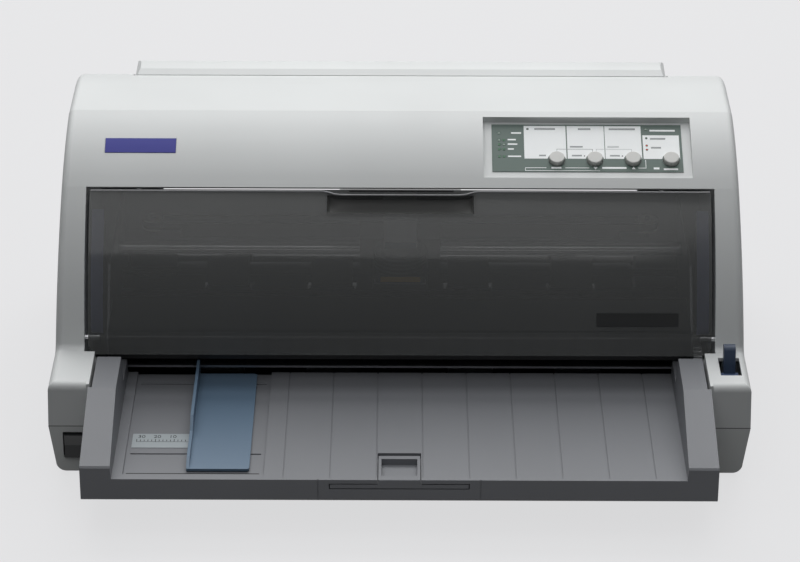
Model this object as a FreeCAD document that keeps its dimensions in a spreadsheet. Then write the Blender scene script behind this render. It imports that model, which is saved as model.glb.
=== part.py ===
"""A flat-bed dot matrix printer, built as its separate pieces.

Frame: X runs to the right as seen from the front, Y runs from the front to the back and Z runs up.
The origin is on the table, under the middle of the printer's outline. All lengths are millimetres
and all angles are degrees.

The case face is two arcs, one for the hinged window and one for the band that carries the keys.
Everything that lies on that face takes its place from those arcs.
"""
import FreeCAD, Part

import math
import os

import Sketcher

doc = FreeCAD.newDocument("printer")
sheet = doc.addObject("Spreadsheet::Sheet", "Sizes")


class Size:
    """A length or an angle that remembers the sheet formula that it came from."""

    def __init__(self, value, text):
        self.value = float(value)
        self.text = text

    def __add__(self, other):
        return Size(self.value + number(other), f"({self.text} + {words(other)})")

    def __radd__(self, other):
        return Size(number(other) + self.value, f"({words(other)} + {self.text})")

    def __sub__(self, other):
        return Size(self.value - number(other), f"({self.text} - {words(other)})")

    def __rsub__(self, other):
        return Size(number(other) - self.value, f"({words(other)} - {self.text})")

    def __mul__(self, other):
        return Size(self.value * number(other), f"({self.text} * {words(other)})")

    def __rmul__(self, other):
        return Size(number(other) * self.value, f"({words(other)} * {self.text})")

    def __truediv__(self, other):
        return Size(self.value / number(other), f"({self.text} / {words(other)})")

    def __neg__(self):
        return Size(-self.value, f"(0 - {self.text})")


def number(thing):
    """The plain number in a size, or the number itself."""
    return thing.value if isinstance(thing, Size) else float(thing)


def words(thing):
    """The sheet formula of a size, or the number as text."""
    return thing.text if isinstance(thing, Size) else repr(float(thing))


def sine(angle):
    """Sine of an angle in degrees."""
    return Size(math.sin(math.radians(number(angle))), f"sin({words(angle)})")


def cosine(angle):
    """Cosine of an angle in degrees."""
    return Size(math.cos(math.radians(number(angle))), f"cos({words(angle)})")


ZERO = Size(0, "0")
rows = []


def size(alias, value):
    """Puts one driving value in the sheet under its own name and returns it."""
    rows.append(alias)
    line = len(rows)
    sheet.set(f"A{line}", alias)
    sheet.set(f"B{line}", str(value))
    sheet.setAlias(f"B{line}", alias)
    return Size(value, f"Sizes.{alias}")


# Sizes of the whole case
CASE_FRONT_Y = size("case_front_y", -110)
CASE_REAR_Y = size("case_rear_y", 185)
CASE_FLOOR_Z = size("case_floor_z", 4)
SEAM_Z = size("seam_z", 39)
SHOULDER_Z = size("shoulder_z", 72)
WALL = size("case_wall", 2.5)
OVERRUN = size("cut_overrun", 20)
SEAT_GAP = size("seat_gap", 0.3)
PIVOT_GAP = size("pivot_gap", 0.1)
EDGE_MATCH = size("edge_match", 0.02)
SIDES = (-1, 1)

# The face of the case, as slopes and radii of its two arcs
FACE_FOOT_Y = size("face_foot_y", -59)
FACE_FOOT_SLOPE = size("face_foot_slope", 74.5)
FACE_BEND_SLOPE = size("face_bend_slope", 43.5)
FACE_CREASE_SLOPE = size("face_crease_slope", 14)
WINDOW_RADIUS = size("window_radius", 211)
BAND_RADIUS = size("band_radius", 131.7)
TOP_REAR_Y = size("top_rear_y", 106.6)
TOP_INSET = size("case_top_inset", 5)
REAR_WALL_LEAN = size("rear_wall_lean", 5)

# The window, its opening and the shoulders beside it
COVER_HALF = size("cover_half_width", 216)
COVER_SIDE_GAP = size("cover_side_gap", 2.5)
SHOULDER_WIDTH = size("shoulder_width", 21.5)
WINDOW_HALF = COVER_HALF + COVER_SIDE_GAP
CASE_HALF = WINDOW_HALF + SHOULDER_WIDTH
WELL_WALL = size("well_wall", 2)


def face_centre(radius_name):
    """Centre of the window arc or of the band arc, as (y, z)."""
    window_y = FACE_FOOT_Y + WINDOW_RADIUS * sine(FACE_FOOT_SLOPE)
    window_z = SHOULDER_Z - WINDOW_RADIUS * cosine(FACE_FOOT_SLOPE)
    if radius_name == "window":
        return window_y, window_z
    reach = WINDOW_RADIUS - BAND_RADIUS
    band_y = window_y - reach * sine(FACE_BEND_SLOPE)
    band_z = window_z + reach * cosine(FACE_BEND_SLOPE)
    return band_y, band_z


def on_window(slope, depth=ZERO):
    """Point of the window arc where the face has that slope, that far under the surface."""
    centre_y, centre_z = face_centre("window")
    radius = WINDOW_RADIUS - depth
    return centre_y - radius * sine(slope), centre_z + radius * cosine(slope)


def on_band(slope, depth=ZERO):
    """Point of the band arc where the face has that slope, that far under the surface."""
    centre_y, centre_z = face_centre("band")
    radius = BAND_RADIUS - depth
    return centre_y - radius * sine(slope), centre_z + radius * cosine(slope)


CASE_TOP_Z = on_band(FACE_CREASE_SLOPE)[1]


def bind(thing, prop, value):
    """Ties a property to the sheet, or sets it where the value is a plain number."""
    if isinstance(value, Size):
        thing.setExpression(prop, value.text)
    else:
        setattr(thing, prop, value)


def place(thing, x=ZERO, y=ZERO, z=ZERO, axis=None, turn=0):
    """Puts an object at a place that follows the sheet, turned about an axis."""
    turned = FreeCAD.Rotation()
    if axis is not None:
        turned = FreeCAD.Rotation(FreeCAD.Vector(*axis), number(turn))
    here = FreeCAD.Vector(number(x), number(y), number(z))
    thing.Placement = FreeCAD.Placement(here, turned)
    for letter, value in (("x", x), ("y", y), ("z", z)):
        bind(thing, f"Placement.Base.{letter}", value)
    if axis is not None and isinstance(turn, Size):
        bind(thing, "Placement.Rotation.Angle", turn)
    return thing


def arc_between(start, end, radius):
    """The arc from start to end. A positive radius turns left on the way, a negative one right."""
    chord = end - start
    half = chord.Length / 2
    up = FreeCAD.Vector(0, 0, 1)
    side = up.cross(chord).normalize()
    reach = math.sqrt(max(radius * radius - half * half, 0))
    centre = start + chord * 0.5 + side * (reach if radius > 0 else -reach)
    low, high = (start, end) if radius > 0 else (end, start)
    first = math.atan2(low.y - centre.y, low.x - centre.x)
    last = math.atan2(high.y - centre.y, high.x - centre.x)
    if last < first:
        last += math.tau
    return Part.ArcOfCircle(Part.Circle(centre, up, abs(radius)), first, last)


def draw(sketch, points):
    """Draws a closed outline and ties every corner, and every arc's radius, to the sheet.

    A point is (u, v), or (u, v, radius) where an arc leaves it for the next point.
    """
    flat = [FreeCAD.Vector(number(p[0]), number(p[1]), 0) for p in points]
    ends = []
    for index, point in enumerate(points):
        start, end = flat[index], flat[(index + 1) % len(flat)]
        if len(point) == 3:
            sketch.addGeometry(arc_between(start, end, number(point[2])), False)
            ends.append((1, 2) if number(point[2]) > 0 else (2, 1))
        else:
            sketch.addGeometry(Part.LineSegment(start, end), False)
            ends.append((1, 2))
    for index, point in enumerate(points):
        following = (index + 1) % len(points)
        sketch.addConstraint(
            Sketcher.Constraint("Coincident", index, ends[index][1], following, ends[following][0])
        )
        for kind, value in (("DistanceX", point[0]), ("DistanceY", point[1])):
            tied = sketch.addConstraint(
                Sketcher.Constraint(kind, -1, 1, index, ends[index][0], number(value))
            )
            bind(sketch, f"Constraints[{tied}]", Size(number(value), words(value)))
        if len(point) == 3:
            radius = point[2] if number(point[2]) > 0 else -point[2]
            tied = sketch.addConstraint(Sketcher.Constraint("Radius", index, number(radius)))
            bind(sketch, f"Constraints[{tied}]", radius)


def draw_circle(sketch, u, v, radius):
    """Draws a circle and ties its centre and its radius to the sheet."""
    centre = FreeCAD.Vector(number(u), number(v), 0)
    index = sketch.addGeometry(Part.Circle(centre, FreeCAD.Vector(0, 0, 1), number(radius)), False)
    for kind, value in (("DistanceX", u), ("DistanceY", v)):
        tied = sketch.addConstraint(Sketcher.Constraint(kind, -1, 1, index, 3, number(value)))
        bind(sketch, f"Constraints[{tied}]", value)
    tied = sketch.addConstraint(Sketcher.Constraint("Radius", index, number(radius)))
    bind(sketch, f"Constraints[{tied}]", radius)


def rectangle(u_low, v_low, u_high, v_high):
    """The four corners of a rectangle, anticlockwise."""
    return [(u_low, v_low), (u_high, v_low), (u_high, v_high), (u_low, v_high)]


# Each direction's origin plane, and whether the plane's own normal points that way
PLANES = {"x": ("YZ_Plane", 1), "y": ("XZ_Plane", -1), "z": ("XY_Plane", 1)}
features = []


def new_body(label):
    """An empty body that becomes one sub-part."""
    body = doc.addObject("PartDesign::Body", "Body_" + label)
    body.Label = label
    return body


def sketch_on(body, direction, height):
    """A sketch across a direction, at that height along it."""
    role, sign = PLANES[direction]
    sketch = body.newObject("Sketcher::SketchObject", f"Sketch{len(features)}")
    features.append(sketch)
    plane = next(f for f in body.Origin.OriginFeatures if f.Role == role)
    sketch.AttachmentSupport = [(plane, "")]
    sketch.MapMode = "FlatFace"
    bind(sketch, "AttachmentOffset.Base.z", height if sign > 0 else -height)
    return sketch


def profiles(sketch, outlines, circles):
    """Draws every outline and every circle of one sketch."""
    if outlines:
        draw(sketch, outlines)
    for circle in circles:
        draw_circle(sketch, *circle)


def pad(body, direction, low, high, outline=None, circles=()):
    """Adds a prism between two heights along a direction."""
    sign = PLANES[direction][1]
    sketch = sketch_on(body, direction, low if sign > 0 else high)
    profiles(sketch, outline, circles)
    feature = body.newObject("PartDesign::Pad", f"Pad{len(features)}")
    feature.Profile = sketch
    bind(feature, "Length", high - low)
    body.Tip = feature
    return feature


def pocket(body, direction, low, high, outline=None, circles=()):
    """Cuts a prism away between two heights along a direction."""
    sign = PLANES[direction][1]
    sketch = sketch_on(body, direction, high if sign > 0 else low)
    profiles(sketch, outline, circles)
    feature = body.newObject("PartDesign::Pocket", f"Pocket{len(features)}")
    feature.Profile = sketch
    bind(feature, "Length", high - low)
    body.Tip = feature
    return feature


def pattern(body, feature, axis_role, spacing, count):
    """Repeats a feature along an axis, that many times in all."""
    repeat = body.newObject("PartDesign::LinearPattern", f"Pattern{len(features)}")
    features.append(repeat)
    repeat.Originals = [feature]
    axis = next(f for f in body.Origin.OriginFeatures if f.Role == axis_role)
    repeat.Direction = (axis, [""])
    bind(repeat, "Length", spacing * (count - 1))
    repeat.Occurrences = count
    body.Tip = repeat
    return repeat


def edges_where(shape, chosen):
    """The numbers of a shape's edges for which chosen(low corner, high corner) is true."""
    found = []
    for index, edge in enumerate(shape.Edges, 1):
        box = edge.BoundBox
        low = FreeCAD.Vector(box.XMin, box.YMin, box.ZMin)
        high = FreeCAD.Vector(box.XMax, box.YMax, box.ZMax)
        if chosen(low, high):
            found.append(index)
    return found


def near(one, other):
    """Whether two numbers are the same for picking an edge."""
    return abs(one - number(other)) < number(EDGE_MATCH)


def span(near_x, far_x, side):
    """The low and the high end of a stretch that lies on the right, or on the left for side -1."""
    return (near_x, far_x) if side > 0 else (-far_x, -near_x)


def soften(body, radius, chosen, kind="Fillet"):
    """Rounds or chamfers the chosen edges of a body."""
    doc.recompute()
    last = body.Tip
    picked = edges_where(last.Shape, chosen)
    if not picked:
        raise RuntimeError(f"{body.Label}: no edge to soften")
    feature = body.newObject("PartDesign::" + kind, f"{kind}{len(features)}")
    features.append(feature)
    feature.Base = (last, [f"Edge{index}" for index in picked])
    bind(feature, "Radius" if kind == "Fillet" else "Size", radius)
    body.Tip = feature
    return feature


def upright(low, high):
    """An edge that runs along Z."""
    return near(low.x, high.x) and near(low.y, high.y)


def across(low, high):
    """An edge that runs along X."""
    return near(low.y, high.y) and near(low.z, high.z)


def box(x_low, x_high, y_low, y_high, z_low, z_high, label=None):
    """A box between its faces' places."""
    made = doc.addObject("Part::Box", label or f"Block{len(features)}")
    features.append(made)
    bind(made, "Length", x_high - x_low)
    bind(made, "Width", y_high - y_low)
    bind(made, "Height", z_high - z_low)
    return place(made, x_low, y_low, z_low)


AXES = {"x": ((0, 1, 0), 90), "y": ((1, 0, 0), -90), "z": (None, 0)}


def rod(direction, low, high, radius, x=ZERO, y=ZERO, z=ZERO, label=None):
    """A round rod along a direction, between two places on it."""
    made = doc.addObject("Part::Cylinder", label or f"Rod{len(features)}")
    features.append(made)
    bind(made, "Radius", radius)
    bind(made, "Height", high - low)
    axis, turn = AXES[direction]
    start = {"x": (low, y, z), "y": (x, low, z), "z": (x, y, low)}[direction]
    return place(made, *start, axis=axis, turn=turn)


# For each direction, where an outline's two axes and its normal point
OUTLINE_AXES = {
    "x": ((0, 1, 0), (0, 0, 1), (1, 0, 0)),
    "y": ((1, 0, 0), (0, 0, 1), (0, -1, 0)),
    "z": ((1, 0, 0), (0, 1, 0), (0, 0, 1)),
}


def prism(direction, low, high, outline):
    """An outline drawn across a direction and pushed from low to high."""
    sketch = doc.addObject("Sketcher::SketchObject", f"Outline{len(features)}")
    features.append(sketch)
    draw(sketch, outline)
    along, up, normal = (FreeCAD.Vector(*each) for each in OUTLINE_AXES[direction])
    turned = FreeCAD.Rotation(along, up, normal, "XYZ")
    sketch.Placement = FreeCAD.Placement(FreeCAD.Vector(0, 0, 0), turned)
    bind(sketch, f"Placement.Base.{direction}", low)
    made = doc.addObject("Part::Extrusion", f"Prism{len(features)}")
    features.append(made)
    made.Base = sketch
    made.DirMode = "Custom"
    made.Dir = {"x": (1, 0, 0), "y": (0, 1, 0), "z": (0, 0, 1)}[direction]
    bind(made, "LengthFwd", high - low)
    made.Solid = True
    return made


def cut(base, tools, label=None):
    """What is left of base when each tool is taken away, with its faces left as they were."""
    tools = tools if isinstance(tools, list) else [tools]
    tool = tools[0] if len(tools) == 1 else fuse(tools)
    made = doc.addObject("Part::Cut", label or f"Cut{len(features)}")
    features.append(made)
    made.Base = base
    made.Tool = tool
    made.Refine = False
    return made


def fuse(shapes, label=None):
    """Several shapes as one."""
    made = doc.addObject("Part::MultiFuse", label or f"Fuse{len(features)}")
    features.append(made)
    made.Shapes = shapes
    return made


def common(one, other):
    """What two shapes share."""
    made = doc.addObject("Part::Common", f"Common{len(features)}")
    features.append(made)
    made.Base = one
    made.Tool = other
    return made


def rounded(base, radius, chosen, label=None):
    """A Part fillet on the chosen edges of a shape."""
    doc.recompute()
    picked = edges_where(base.Shape, chosen)
    if not picked:
        raise RuntimeError(f"{base.Name}: no edge to round")
    made = doc.addObject("Part::Fillet", label or f"Rounded{len(features)}")
    features.append(made)
    made.Base = base
    made.Edges = [(index, number(radius), number(radius)) for index in picked]
    return made


pieces = []


def piece(made, label):
    """Names a finished sub-part, which is then written to a file of that name."""
    made.Label = label
    pieces.append(made)
    return made


def group(label, shapes):
    """Several alike solids that stay separate, as one sub-part."""
    made = doc.addObject("Part::Compound", "Group_" + label)
    made.Links = shapes
    return piece(made, label)


def root(value):
    """Square root of a size."""
    return Size(math.sqrt(number(value)), f"sqrt({words(value)})")


def arc_slope(distance, radius, start_slope):
    """Slope of the face after walking that far up an arc from where it has the start slope."""
    turn = math.degrees(number(distance) / number(radius))
    text = f"({words(start_slope)} - {words(distance)} / {words(radius)} * 180 / pi)"
    return Size(number(start_slope) - turn, text)


# Lower case
LOWER_INSET = size("lower_case_inset", 4)
LOWER_ROUND = size("lower_case_round", 7)
FACE_ROUND = size("face_edge_round", 5)
FOOT_COVE = size("face_foot_cove", 5)
BAY_INSET = size("bay_inset", 7.5)
BAY_HALF = WINDOW_HALF - BAY_INSET
BAY_SILL_Z = size("bay_sill_z", 24.3)
SWITCH_INSET = size("switch_inset", 7)
SWITCH_WIDTH = size("switch_width", 19.5)
SWITCH_LOW_X = SWITCH_INSET - CASE_HALF
SWITCH_HIGH_X = SWITCH_LOW_X + SWITCH_WIDTH
SWITCH_LOW_Z = size("switch_low_z", 12)
SWITCH_HIGH_Z = size("switch_high_z", 37)
SWITCH_MARGIN = size("switch_recess_margin", 2.5)
REAR_PORT_LOW_Z = size("rear_port_low_z", 12)
REAR_PORT_HIGH_Z = size("rear_port_high_z", 32)
INLET_X = (size("inlet_low_x", 178), size("inlet_high_x", 208))
PARALLEL_X = (size("parallel_low_x", -120), size("parallel_high_x", -56))
USB_X = (size("usb_low_x", -40), size("usb_high_x", -26))
BOSS_RADIUS = size("boss_radius", 4)
BOSS_INSET = size("boss_inset", 12)
BOSS_X = CASE_HALF - BOSS_INSET
BOSS_FRONT_Y = size("boss_front_y", -50)
BOSS_TOP_Z = size("boss_top_z", 60)
SCREW_RADIUS = size("screw_radius", 1.8)
SCREW_END_Z = size("screw_end_z", 50)
SCREW_HEAD = size("screw_head_radius", 3.2)
SCREW_HEAD_HEIGHT = size("screw_head_height", 2)
BOSS_REAR_Y = size("boss_rear_y", 165)
BOSS_PLACES = [(x, y) for x in (-BOSS_X, BOSS_X) for y in (BOSS_FRONT_Y, BOSS_REAR_Y)]
FLOOR_VENT_WIDTH = size("floor_vent_width", 60)
FLOOR_VENT_SLOT = size("floor_vent_slot", 4)
FLOOR_VENT_PITCH = size("floor_vent_pitch", 10)
FLOOR_VENT_Y = size("floor_vent_y", 60)
FLOOR_VENTS = 5


def lower_section(depth, floor_z, rim_z):
    """Front outline of the lower case, that far inside its skin."""
    low = CASE_HALF - LOWER_INSET - depth
    high = CASE_HALF - depth
    bend = LOWER_ROUND - depth
    return [
        (bend - low, floor_z),
        (low - bend, floor_z, bend),
        (low, floor_z + bend),
        (high, rim_z),
        (-high, rim_z),
        (-low, floor_z + bend, bend),
    ]


def switch_opening(wall):
    """Outline of the switch opening as low x, low z, high x and high z, that far outside it."""
    inset = SWITCH_MARGIN - wall
    return SWITCH_LOW_X + inset, SWITCH_LOW_Z + inset, SWITCH_HIGH_X - inset, SWITCH_HIGH_Z - inset


def is_rear_corner(low, high):
    """The outer edge where the rear wall meets a side wall of the lower case."""
    return near(low.y, CASE_REAR_Y) and low.x * high.x > 0 and high.z - low.z > number(LOWER_ROUND)


def make_lower_case():
    """The tray that everything stands in, open at the top and low in front of the paper bay."""
    body = new_body("lower_case")
    pad(body, "y", CASE_FRONT_Y, CASE_REAR_Y, lower_section(ZERO, CASE_FLOOR_Z, SEAM_Z))
    soften(body, FACE_ROUND, is_rear_corner)
    inside = lower_section(WALL, CASE_FLOOR_Z + WALL, SEAM_Z + WALL)
    pocket(body, "y", CASE_FRONT_Y + WALL, CASE_REAR_Y - WALL, inside)
    sill = rectangle(-BAY_HALF, BAY_SILL_Z, BAY_HALF, SEAM_Z + OVERRUN)
    pocket(body, "y", CASE_FRONT_Y - WALL, CASE_FRONT_Y + WALL + WALL, sill)
    hole = rectangle(*switch_opening(ZERO))
    pocket(body, "y", CASE_FRONT_Y - WALL, CASE_FRONT_Y + WALL + WALL, hole)
    for low_x, high_x in (INLET_X, PARALLEL_X, USB_X):
        port = rectangle(low_x, REAR_PORT_LOW_Z, high_x, REAR_PORT_HIGH_Z)
        pocket(body, "y", CASE_REAR_Y - WALL - WALL, CASE_REAR_Y + WALL, port)
    circles = [(x, y, BOSS_RADIUS) for x, y in BOSS_PLACES]
    pad(body, "z", CASE_FLOOR_Z + WALL, SEAM_Z - SEAT_GAP, None, circles)
    bores = [(x, y, SCREW_RADIUS + PIVOT_GAP) for x, y in BOSS_PLACES]
    pocket(body, "z", CASE_FLOOR_Z - WALL, SEAM_Z + WALL, None, bores)
    vent = rectangle(-FLOOR_VENT_WIDTH, FLOOR_VENT_Y, FLOOR_VENT_WIDTH, FLOOR_VENT_Y + FLOOR_VENT_SLOT)
    slot = pocket(body, "z", CASE_FLOOR_Z - WALL, CASE_FLOOR_Z + WALL + WALL, vent)
    pattern(body, slot, "Y_Axis", FLOOR_VENT_PITCH, FLOOR_VENTS)
    return piece(body, "lower_case")


lower_case = make_lower_case()

# Upper case
REAR_RADIUS = size("rear_radius", 76)
REAR_DROP = size("rear_drop", 56.3)
RELIEF_Z = size("window_relief_z", 63)
RELIEF_RUN = size("window_relief_run", 4)
HATCH_HALF = size("hatch_half_width", 193.7)
HATCH_FRONT_Y = size("hatch_front_y", 126)
HATCH_FLOOR_Z = size("hatch_floor_z", 92)
REAR_MOUTH_LOW_Z = size("rear_mouth_low_z", 42)
REAR_MOUTH_HALF = size("rear_mouth_half", 180)
LEVER_SLOT_INSET = size("lever_slot_inset", 6)
LEVER_SLOT_WIDTH = size("lever_slot_width", 14.5)
LEVER_SLOT_X = (CASE_HALF - LEVER_SLOT_INSET - LEVER_SLOT_WIDTH, CASE_HALF - LEVER_SLOT_INSET)
LEVER_SLOT_Y = (size("lever_slot_front_y", -94.5), size("lever_slot_rear_y", -69.5))
WELL_FLOOR_Z = size("well_floor_z", 45)

# Places along the band, measured up the face from the window's top edge
PANEL_LOW = size("panel_low", 8)
PANEL_HIGH = size("panel_high", 61.5)
PANEL_LEFT_X = size("panel_left_x", 58)
PANEL_RIGHT_X = size("panel_right_x", 204)
PANEL_FOOT_DEPTH = size("panel_foot_depth", 1.2)
PANEL_HEAD_DEPTH = size("panel_head_depth", 5)
KEY_UP = size("key_up_the_panel", 16.7)
KEY_FIRST_X = size("key_first_x", 109.5)
KEY_PITCH = size("key_pitch", 26.7)
KEYS = 4
KEY_RADIUS = size("key_radius", 5.4)
BOARD_DEPTH = size("panel_board_depth", 8.5)
BOARD_THICK = size("board_thick", 1.6)
BOARD_FOOT = size("panel_board_foot", 2)
BOARD_HEAD = size("panel_board_head", 46)
BOARD_RIB = size("panel_board_rib", 3)
KEY_GAP = size("key_gap", 0.5)
BADGE_LOW = size("badge_low", 26.6)
BADGE_HIGH = size("badge_high", 39.5)
BADGE_X = (size("badge_left_x", -207), size("badge_right_x", -157))
BADGE_DEPTH = size("badge_recess_depth", 0.8)
LED_RADIUS = size("led_radius", 0.9)
LED_GAP = size("led_gap", 0.25)
# Each lamp's place as shares of the panel floor's width and length
LED_SHARES = [
    (0.078, 0.798),
    (0.078, 0.671),
    (0.078, 0.592),
    (0.078, 0.507),
    (0.078, 0.377),
    (0.101, 0.671),
    (0.101, 0.592),
    (0.101, 0.507),
    (0.101, 0.377),
    (0.216, 0.871),
    (0.788, 0.871),
    (0.788, 0.711),
    (0.788, 0.58),
    (0.788, 0.505),
]


def band_slope(distance):
    """Slope of the band that far up the face from its lower edge."""
    return arc_slope(distance, BAND_RADIUS, FACE_BEND_SLOPE)


def slope_between(low, high):
    """Slope of the straight line between two (y, z) points."""
    run, rise = high[0] - low[0], high[1] - low[1]
    angle = math.degrees(math.atan2(number(rise), number(run)))
    return Size(angle, f"atan({rise.text} / {run.text})")


PANEL_FOOT = on_band(band_slope(PANEL_LOW), PANEL_FOOT_DEPTH)
PANEL_HEAD = on_band(band_slope(PANEL_HIGH), PANEL_HEAD_DEPTH)
PANEL_SLOPE = slope_between(PANEL_FOOT, PANEL_HEAD)
PANEL_LENGTH = (PANEL_HEAD[0] - PANEL_FOOT[0]) / cosine(PANEL_SLOPE)


def on_panel(up, depth):
    """Point that far up the flat floor of the panel recess, and that far under it."""
    y = PANEL_FOOT[0] + up * cosine(PANEL_SLOPE) + depth * sine(PANEL_SLOPE)
    z = PANEL_FOOT[1] + up * sine(PANEL_SLOPE) - depth * cosine(PANEL_SLOPE)
    return y, z


def led_place(shares):
    """Where a lamp lies on the panel floor, as its x and its way up."""
    across_share, up_share = shares
    x = PANEL_LEFT_X + (PANEL_RIGHT_X - PANEL_LEFT_X) * across_share
    return x, PANEL_LENGTH * up_share


def case_profile(depth, floor_z):
    """Side outline of the case, that far inside its skin, as (y, z)."""
    centre_y, centre_z = face_centre("window")
    radius = WINDOW_RADIUS - depth
    rise = SHOULDER_Z - depth - centre_z
    foot_y = centre_y - root(radius * radius - rise * rise)
    bend = on_window(FACE_BEND_SLOPE, depth)
    crease = on_band(FACE_CREASE_SLOPE, depth)
    return [
        (CASE_FRONT_Y + depth, floor_z),
        (CASE_REAR_Y - depth, floor_z),
        (CASE_REAR_Y - REAR_WALL_LEAN - depth, CASE_TOP_Z - REAR_DROP, REAR_RADIUS - depth),
        (TOP_REAR_Y, CASE_TOP_Z - depth),
        (crease[0], crease[1], BAND_RADIUS - depth),
        (bend[0], bend[1], radius),
        (foot_y, SHOULDER_Z - depth),
        (CASE_FRONT_Y + depth, SHOULDER_Z - depth),
    ]


def case_section(depth, floor_z):
    """Front outline of the case, that far inside its skin, as (x, z)."""
    low = CASE_HALF - depth
    high = CASE_HALF - TOP_INSET - depth
    top = CASE_TOP_Z - depth
    return [(-low, floor_z), (low, floor_z), (high, top), (-high, top)]


def case_block(depth, floor_z):
    """The whole case as one solid, that far inside its skin."""
    along = prism("x", -CASE_HALF, CASE_HALF, case_profile(depth, floor_z))
    through = prism("y", CASE_FRONT_Y, CASE_REAR_Y, case_section(depth, floor_z))
    return common(along, through)


def band_strip(x_low, x_high, low, high, depth, proud=None):
    """A curved plate on the band between two walks up the face, from depth up to proud."""
    above = OVERRUN if proud is None else proud
    first, last = band_slope(low), band_slope(high)
    outer_low, outer_high = on_band(first, -above), on_band(last, -above)
    inner_low, inner_high = on_band(first, depth), on_band(last, depth)
    outline = [
        (inner_low[0], inner_low[1], -(BAND_RADIUS - depth)),
        (inner_high[0], inner_high[1]),
        (outer_high[0], outer_high[1], BAND_RADIUS + above),
        (outer_low[0], outer_low[1]),
    ]
    return prism("x", x_low, x_high, outline)


def window_strip(x_low, x_high, low_slope, high_slope, depth, proud):
    """A curved plate on the window arc between two slopes, from depth up to proud."""
    outer_low, outer_high = on_window(low_slope, -proud), on_window(high_slope, -proud)
    inner_low, inner_high = on_window(low_slope, depth), on_window(high_slope, depth)
    outline = [
        (inner_low[0], inner_low[1], -(WINDOW_RADIUS - depth)),
        (inner_high[0], inner_high[1]),
        (outer_high[0], outer_high[1], WINDOW_RADIUS + proud),
        (outer_low[0], outer_low[1]),
    ]
    return prism("x", x_low, x_high, outline)


def square_to_panel(up, x, low, high, radius):
    """A round peg square to the panel floor, that far up it, between two heights over it."""
    start_y, start_z = on_panel(up, -low)
    made = doc.addObject("Part::Cylinder", f"Peg{len(features)}")
    features.append(made)
    bind(made, "Radius", radius)
    bind(made, "Height", high - low)
    return place(made, x, start_y, start_z, axis=(1, 0, 0), turn=PANEL_SLOPE)


def panel_slab(x_ends, up_ends, deep, shallow):
    """A flat slab along the panel floor, between two depths under it."""
    start_y, start_z = on_panel(up_ends[0], deep)
    made = doc.addObject("Part::Box", f"Slab{len(features)}")
    features.append(made)
    bind(made, "Length", x_ends[1] - x_ends[0])
    bind(made, "Width", up_ends[1] - up_ends[0])
    bind(made, "Height", deep - shallow)
    return place(made, x_ends[0], start_y, start_z, axis=(1, 0, 0), turn=PANEL_SLOPE)


def panel_recess(wall):
    """The panel recess from its flat floor out through the face, with that much wall round it."""
    first, last = band_slope(PANEL_LOW - wall), band_slope(PANEL_HIGH + wall)
    outline = [
        on_panel(-wall, wall),
        on_panel(PANEL_LENGTH + wall, wall),
        on_band(last, -OVERRUN),
        on_band(first, -OVERRUN),
    ]
    return prism("x", PANEL_LEFT_X - wall, PANEL_RIGHT_X + wall, outline)


def window_cutter():
    """What the window opening takes out of the case front."""
    low_y = FACE_FOOT_Y - RELIEF_RUN
    outer_low = on_window(FACE_FOOT_SLOPE, -OVERRUN)
    outer_high = on_window(FACE_BEND_SLOPE, -OVERRUN)
    inner_high = on_window(FACE_BEND_SLOPE, OVERRUN)
    inner_low = on_window(FACE_FOOT_SLOPE, OVERRUN)
    outline = [
        (low_y, RELIEF_Z),
        (inner_low[0], RELIEF_Z),
        (inner_high[0], inner_high[1]),
        (outer_high[0], outer_high[1], WINDOW_RADIUS + OVERRUN),
        (outer_low[0], outer_low[1]),
        (low_y, SHOULDER_Z + WALL),
    ]
    return prism("x", -WINDOW_HALF, WINDOW_HALF, outline)


def well_wall(x_low, x_high):
    """One side wall of the print bay, which also carries the window's pivot."""
    bend = on_window(FACE_BEND_SLOPE, WALL)
    low = on_window(FACE_FOOT_SLOPE, WALL)
    outline = [
        (low[0], WELL_FLOOR_Z),
        (WELL_REAR_Y, WELL_FLOOR_Z),
        (WELL_REAR_Y, bend[1]),
        (bend[0], bend[1], WINDOW_RADIUS - WALL),
        (low[0], low[1]),
    ]
    return prism("x", x_low, x_high, outline)


def key_x(index):
    """Where a key stands across the panel."""
    return KEY_FIRST_X + KEY_PITCH * index


def face_holes():
    """The hole of each key and of each lamp, square to the panel floor."""
    bore = KEY_RADIUS + KEY_GAP
    holes = [square_to_panel(KEY_UP, key_x(index), -OVERRUN, OVERRUN, bore) for index in range(KEYS)]
    for shares in LED_SHARES:
        x, up = led_place(shares)
        holes.append(square_to_panel(up, x, -OVERRUN, OVERRUN, LED_RADIUS + LED_GAP))
    return holes


def board_ribs():
    """The two ribs behind the panel that its circuit board is fixed to."""
    ribs = []
    for x_low in (PANEL_LEFT_X, PANEL_RIGHT_X - BOARD_RIB):
        ends = (x_low, x_low + BOARD_RIB)
        ribs.append(panel_slab(ends, (BOARD_FOOT, BOARD_HEAD), BOARD_DEPTH, WALL / 2))
    return ribs


# The window's pivot
PIVOT_SLOPE = size("pivot_slope", 72.5)
PIVOT_DEPTH = size("pivot_depth", 4)
PIVOT_RADIUS = size("pivot_radius", 2)
PIVOT_Y, PIVOT_Z = on_window(PIVOT_SLOPE, PIVOT_DEPTH)
WELL_REAR_Y = size("well_rear_y", 96)
HATCH_PIVOT_Y = size("hatch_pivot_y", 177.5)
HATCH_PIVOT_RISE = size("hatch_pivot_rise", 12)
HATCH_PIVOT_RADIUS = size("hatch_pivot_radius", 1.5)
HATCH_PIVOT_Z = HATCH_FLOOR_Z + HATCH_PIVOT_RISE
HATCH_GAP = size("hatch_gap", 1)
HATCH_WALL = size("hatch_well_wall", 2)
HATCH_PIN_END = HATCH_HALF + HATCH_GAP + HATCH_WALL + HATCH_WALL


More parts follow.
